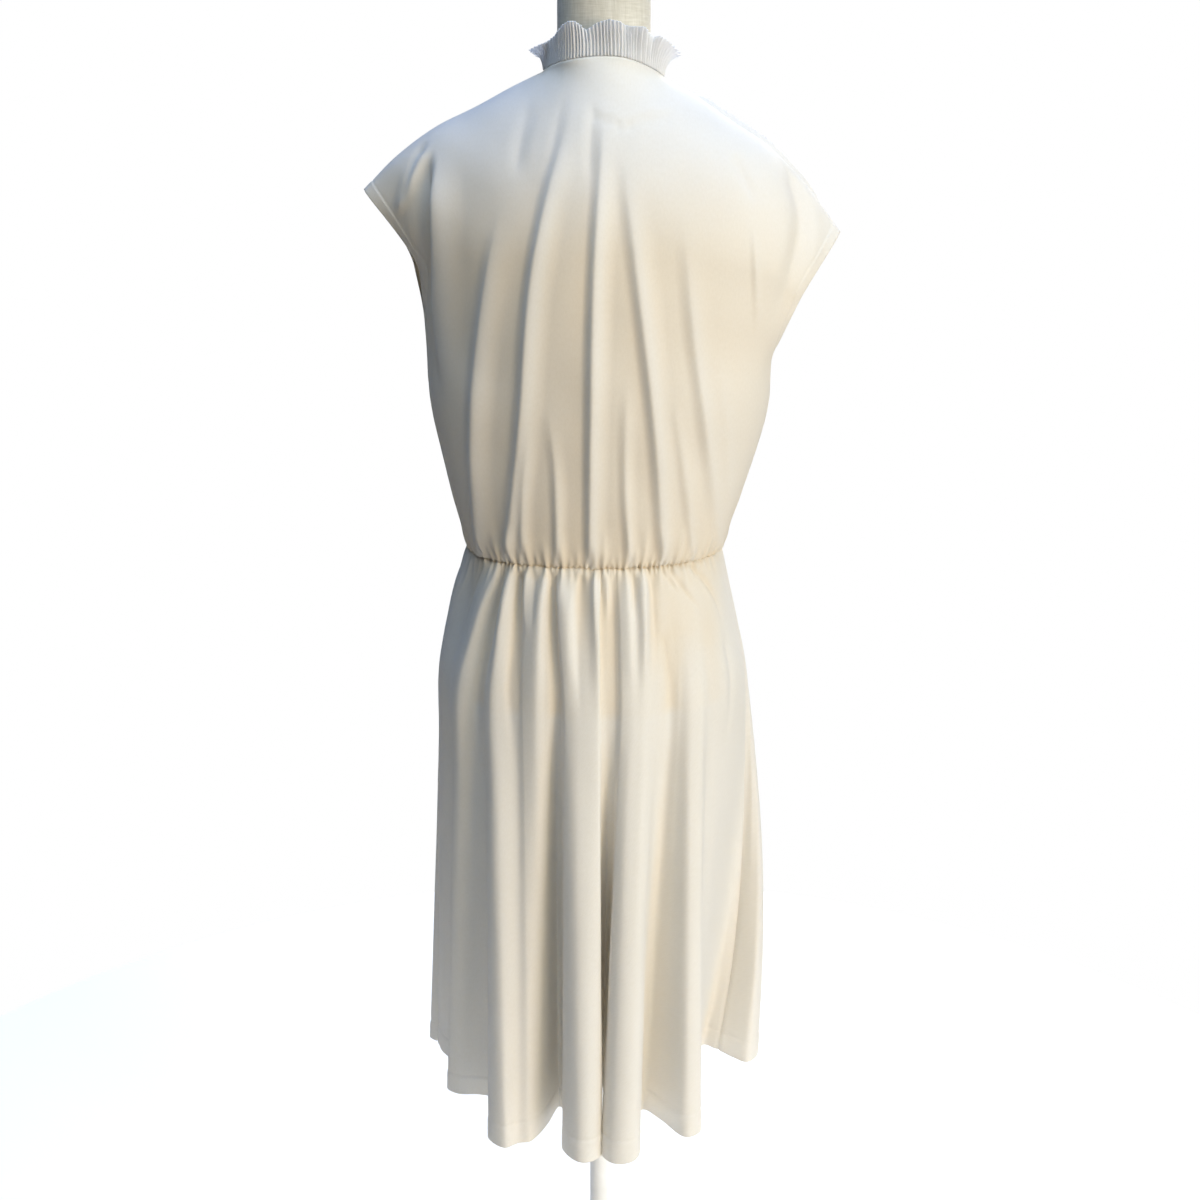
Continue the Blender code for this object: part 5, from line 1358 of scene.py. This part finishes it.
def make_skirt():
    heights = np.concatenate([
        WAIST_SEAM_Z - SEAM_GAP / 2 - np.array([0, 0.0003]),
        WAIST_SEAM_Z - SEAM_GAP / 2 - np.linspace(0, 0.060, 30)[1:-1],
        np.linspace(WAIST_SEAM_Z - 0.0602, 0.780, 16)[:-1],
        np.linspace(0.780, HEM_Z + 0.032, 44)[:-1],
        np.linspace(HEM_Z + 0.032, HEM_Z, 20)])
    per_fold = 10
    grid, n, thick, uv, deg = skirt_fine(per_fold, heights)
    n[0, :, 2] = 0
    n[0] = unit(n[0])
    names = [r[0] for r in SKIRT]
    right = per_fold * names.index("side_R")
    total = grid.shape[1]
    made = []
    for name, node, cols in (("skirt_back_cloth", "skirt_back", list(range(0, right + 1))),
                             ("skirt_front_cloth", "skirt_front", list(range(right, total)) + [0])):
        part = grid[:, cols].copy()
        look = n[:, cols].copy()
        tex = uv[:, cols].copy()
        if cols[-1] == 0:
            tex[:, -1, 0] = tex[:, -2, 0] + (tex[:, -2, 0] - tex[:, -3, 0])
        run = run_along(part, 1)
        edge = np.minimum(run, run[:, -1:] - run)
        part -= look * (0.0018 * np.exp(-(edge / 0.0022) ** 2) - 0.0005 * np.exp(-((edge - 0.007) / 0.004) ** 2))[..., None]
        part[:, 0] += unit(part[:, 1] - part[:, 0]) * SEAM_GAP / 2
        part[:, -1] += unit(part[:, -2] - part[:, -1]) * SEAM_GAP / 2
        ob = wall_object(name, part, look, thick[:, cols], CLOTH, tex, near=form_valley_shade(part))
        done(ob, "dress_cloth", node)
        made.append((ob, part, look))
    return made, heights


def make_hem_stitches(made, heights):
    """The blind hem shows as small nicks of thread, far apart."""
    bits = []
    r = int(np.argmin(np.abs(heights - (HEM_Z + 0.0245))))
    for ob, part, look in made:
        bits += stitches_on(part[r], look[r], 0.0085, 0.0010, 120)
    done(thread_bits("stitches_skirt_hem", bits, 0.00013, THREAD), "dress_cloth")


def make_ruffle():
    levels = np.concatenate([np.linspace(0, 0.92, 20), np.linspace(0.935, 1.0, 5)])
    grid, deg = ruffle_fine(levels, 8)
    n = grid_normals(grid)
    run = np.arange(grid.shape[1]) * (PLEAT_PITCH / 8 * 2.0)
    uv = np.stack([np.broadcast_to(run, grid.shape[:2]), run_along(grid, 0)], -1)
    thick = np.full(grid.shape[:2], 0.00055)
    thick[-4:] += np.array([0.0, 0.0002, 0.0003, 0.0003])[:, None]
    ob = wall_object("collar_ruffle_pleated", grid, n, thick, RUFFLE_CLOTH, uv, smooth=80)
    done(ob, "ruffle_cloth", "collar_ruffle")
    return ob


def make_placket():
    t = np.concatenate([np.linspace(0, 0.10, 22)[:-1], np.linspace(0.10, 1.0, 110)])
    near = bodice_fine("front", np.concatenate([-side_steps(160)[::-1], side_steps(160)[1:]]), t)[0]
    mid = near.shape[1] // 2
    rows = []
    half = PLACKET_WIDE / 2
    at = np.concatenate([[-1, -0.97, -0.93], np.linspace(-0.88, 0.88, 19), [0.93, 0.97, 1]]) * half
    for line in near:
        u = line[:, 0]
        rows.append(np.stack([np.interp(at, u, line[:, k]) for k in range(3)], -1))
    grid = np.array(rows)
    grid[..., 0] = at[None]
    k = int(np.argmin(np.abs(t - 0.012)))
    grid = grid[k:-3]
    n = grid_normals(grid)
    n[..., 0] *= 0.3
    n = unit(n)
    up = run_along(grid, 0)
    edge = half - np.abs(at)[None] + 0 * up
    lift = 0.0009 + 0.0011
    puff = 0.0004 * np.exp(-((edge - 0.0005) / 0.0010) ** 2) - 0.0003 * np.exp(-((edge - 0.0024) / 0.0007) ** 2) \
        + 0.00025 * waves(at[None] + 0 * up, up, 0.020, 33)
    outer = grid + n * (lift + puff)[..., None]
    uv = np.stack([at[None] + 0 * up, up], -1)
    ob = wall_object("placket_strip", outer, n, 0.0011, CLOTH, uv, near=form_valley_shade(outer, np.full(up.shape, 0.001)))
    done(ob, "dress_cloth", "placket")
    bits = []
    for side in (-1, 1):
        c = int(np.argmin(np.abs(at - side * (half - 0.0024))))
        bits += stitches_on(outer[:, c], n[:, c], 0.0030, 0.0022, 140 + side)
    done(thread_bits("stitches_placket", bits, 0.00018, THREAD), "dress_cloth")
    return outer, n, at


def make_buttons(strip, normals, at):
    c = int(np.argmin(np.abs(at)))
    line, look = strip[:, c], normals[:, c]
    threads = []
    for i, height in enumerate(BUTTON_HEIGHTS, 1):
        p = np.array([np.interp(height, line[:, 2], line[:, k]) for k in range(3)])
        d = unit(np.array([0.0, np.interp(height, line[:, 2], look[:, 1]), np.interp(height, line[:, 2], look[:, 2])]))
        side = np.array([1.0, 0, 0])
        up = unit(np.cross(d, side))
        up = up if up[2] > 0 else -up
        base = p + d * 0.0006
        count = 48
        a = np.linspace(0, 2 * math.pi, count, endpoint=False)
        prof = [(0.30, 0.0), (0.80, 0.0), (0.93, 0.0003), (0.99, 0.0008), (1.0, 0.0013), (0.985, 0.0018), (0.93, 0.0024),
                (0.86, 0.0026), (0.79, 0.0024), (0.72, 0.0020), (0.64, 0.00185), (0.58, 0.0018)]
        rings = [base + d * h + BUTTON_R * r * (np.cos(a)[:, None] * side + np.sin(a)[:, None] * up) for r, h in prof]
        # a dished middle with four sewing holes sunk into it
        for r in np.linspace(0.54, 0.04, 15):
            x, y = r * np.cos(a) * BUTTON_R, r * np.sin(a) * BUTTON_R
            deep = np.zeros(count)
            for hx, hy in ((1, 1), (1, -1), (-1, 1), (-1, -1)):
                gap = np.hypot(x - hx * 0.0013, y - hy * 0.0013)
                deep = np.maximum(deep, 1 - ease((gap - 0.00045) / 0.0003))
            h = 0.0018 - 0.0012 * deep
            rings.append(base + d * h[:, None] + x[:, None] * side + y[:, None] * up)
        ob = loft_object("button_%d_pearl" % i, rings, PEARL, smooth=50)
        done(ob, "button", "button_%d" % i)
        for sx in (-1, 1):
            for off in (-0.00022, 0.00022):
                one = base + d * 0.0021 + side * (sx * 0.0013 + off) + up * 0.0014
                two = base + d * 0.0021 + side * (sx * 0.0013 + off) - up * 0.0014
                threads.append((one, two, d))
    done(thread_bits("button_threads", threads, 0.00026, THREAD, 8), "button")


def make_elastic():
    high, thick = 0.010, 0.0010
    a = np.linspace(0, 360, 361)[:-1]
    rings = []
    ripple = 0.00035 * np.sin(np.radians(a) * 62) + 0.0002 * np.sin(np.radians(a) * 97)
    for off, z in ((0.0, -1), (0.0, -0.5), (0.0, 0), (0.0, 0.5), (0.0, 1), (-thick, 1), (-thick, 0.5), (-thick, 0), (-thick, -0.5), (-thick, -1)):
        u, d = ring_point(a, WAIST_SEAM_Z, -0.0012 - 0.0012 + off + ripple)
        rings.append(np.stack([u, d, np.full(len(a), WAIST_SEAM_Z + z * high / 2)], -1))
    rings = np.array(rings)
    m, k = rings.shape[:2]
    idx = np.arange(m * k).reshape(m, k)
    nxt, up = np.roll(idx, -1, axis=1), np.roll(idx, -1, axis=0)
    faces = np.stack([idx.ravel(), nxt.ravel(), np.roll(nxt, -1, axis=0).ravel(), up.ravel()], -1)
    pts = world(rings).reshape(-1, 3)
    f = faces[0]
    way = np.cross(pts[f[1]] - pts[f[0]], pts[f[2]] - pts[f[0]])
    if (way * (pts[f[0]] * np.array([1, 1, 0]))).sum() < 0:
        faces = faces[:, ::-1]
    done(new_object("waist_elastic_band", pts, faces, ELASTIC, 50), "elastic", "waist_elastic")


NECK_COLS = {}


def make_dress():
    parts = make_bodice()
    half = side_steps(178)
    NECK_COLS["back"] = np.concatenate([-half[::-1], half[1:]])
    NECK_COLS["left"] = -side_steps(160)[::-1]
    NECK_COLS["right"] = side_steps(160)
    make_neck_stitches(parts)
    made, heights = make_skirt()
    make_hem_stitches(made, heights)
    make_ruffle()
    strip, look, at = make_placket()
    make_buttons(strip, look, at)
    make_elastic()


# ------------------------------------------------------------ the room
def aim(ob, at):
    from mathutils import Vector
    ob.rotation_euler = (Vector(at) - ob.location).to_track_quat("-Z", "Y").to_euler()


def light(name, az, el, size, power, colour, dist=3.2):
    data = bpy.data.lights.new(name, "AREA")
    data.shape = "RECTANGLE"
    data.size, data.size_y = size
    data.energy = power
    data.color = colour
    ob = bpy.data.objects.new(name, data)
    bpy.context.scene.collection.objects.link(ob)
    a, e = math.radians(az), math.radians(el)
    ob.location = (-dist * math.cos(e) * math.sin(a), dist * math.cos(e) * math.cos(a), 1.0 + dist * math.sin(e))
    aim(ob, (0, 0, 1.0))
    return ob


def make_room():
    m = Nodes("floor_pale")
    place = m.add("ShaderNodeTexCoord").outputs["Object"]
    soft = m.noise(place, 1.2, 2.0, 0.5)
    m.link(m.blend(soft, rgb(0.93, 0.93, 0.93), rgb(0.96, 0.96, 0.96)), m.shader.inputs["Base Color"])
    m.put(m.shader, Roughness=0.9, Specular_IOR_Level=0.1, Emission_Strength=0.30)
    m.shader.inputs["Emission Color"].default_value = rgb(1, 1, 1)
    count, far = 96, 1.3
    a = np.linspace(0, 2 * math.pi, count, endpoint=False)
    verts = np.stack([far * np.cos(a), far * np.sin(a), np.full(count, -0.0004)], -1)
    floor = new_object("floor", verts, [list(range(count))], m.mat, 180)

    scene = bpy.context.scene
    world_ = bpy.data.worlds.new("studio")
    scene.world = world_
    world_.use_nodes = True
    tree = world_.node_tree
    back = tree.nodes["Background"]
    back.inputs["Color"].default_value = rgb(0.86, 0.92, 1.0)
    back.inputs["Strength"].default_value = 0.03
    seen = tree.nodes.new("ShaderNodeBackground")
    seen.inputs["Color"].default_value = rgb(1, 1, 1)
    seen.inputs["Strength"].default_value = 1.0
    path = tree.nodes.new("ShaderNodeLightPath")
    mix = tree.nodes.new("ShaderNodeMixShader")
    tree.links.new(path.outputs["Is Camera Ray"], mix.inputs["Fac"])
    tree.links.new(back.outputs["Background"], mix.inputs[1])
    tree.links.new(seen.outputs["Background"], mix.inputs[2])
    tree.links.new(mix.outputs["Shader"], tree.nodes["World Output"].inputs["Surface"])

    # degrees round from behind the camera to the picture's right, degrees up
    light("key_warm", 48, 11, (1.2, 1.8), 56, (1.0, 0.91, 0.825), 3.3)
    light("key_cool", 72, 20, (1.2, 1.8), 34, (0.52, 0.78, 1.0), 3.3)
    light("fill_warm", 32, 14, (1.3, 1.8), 35, (1.0, 0.82, 0.46), 3.3)
    light("sky_behind", -10, 69, (2.0, 1.6), 59, (0.65, 0.82, 1.0), 3.0)
    light("sky_above", 180, 80, (2.0, 2.0), 24, (0.16, 0.32, 1.0), 2.6)
    light("front_soft", 158, 24, (1.8, 1.8), 90, (1.0, 0.97, 0.92))

    scene.view_settings.view_transform = "Standard"
    scene.view_settings.look = "None"
    scene.view_settings.exposure = 0.0
    scene.view_settings.gamma = 1.0


def make_camera():
    data = bpy.data.cameras.new("camera")
    data.lens = 51.19
    data.sensor_width = 36.0
    data.sensor_fit = "HORIZONTAL"
    data.clip_start, data.clip_end = 0.05, 200.0
    ob = bpy.data.objects.new("camera", data)
    bpy.context.scene.collection.objects.link(ob)
    ob.location = (0.0, 1.85, 1.42 + LIFT)
    pitch = math.radians(16.66)
    aim(ob, (0.0, 1.85 - math.cos(pitch), 1.42 + LIFT - math.sin(pitch)))
    bpy.context.scene.camera = ob


make_camera()
make_form()
make_stand()
make_dress()
make_room()
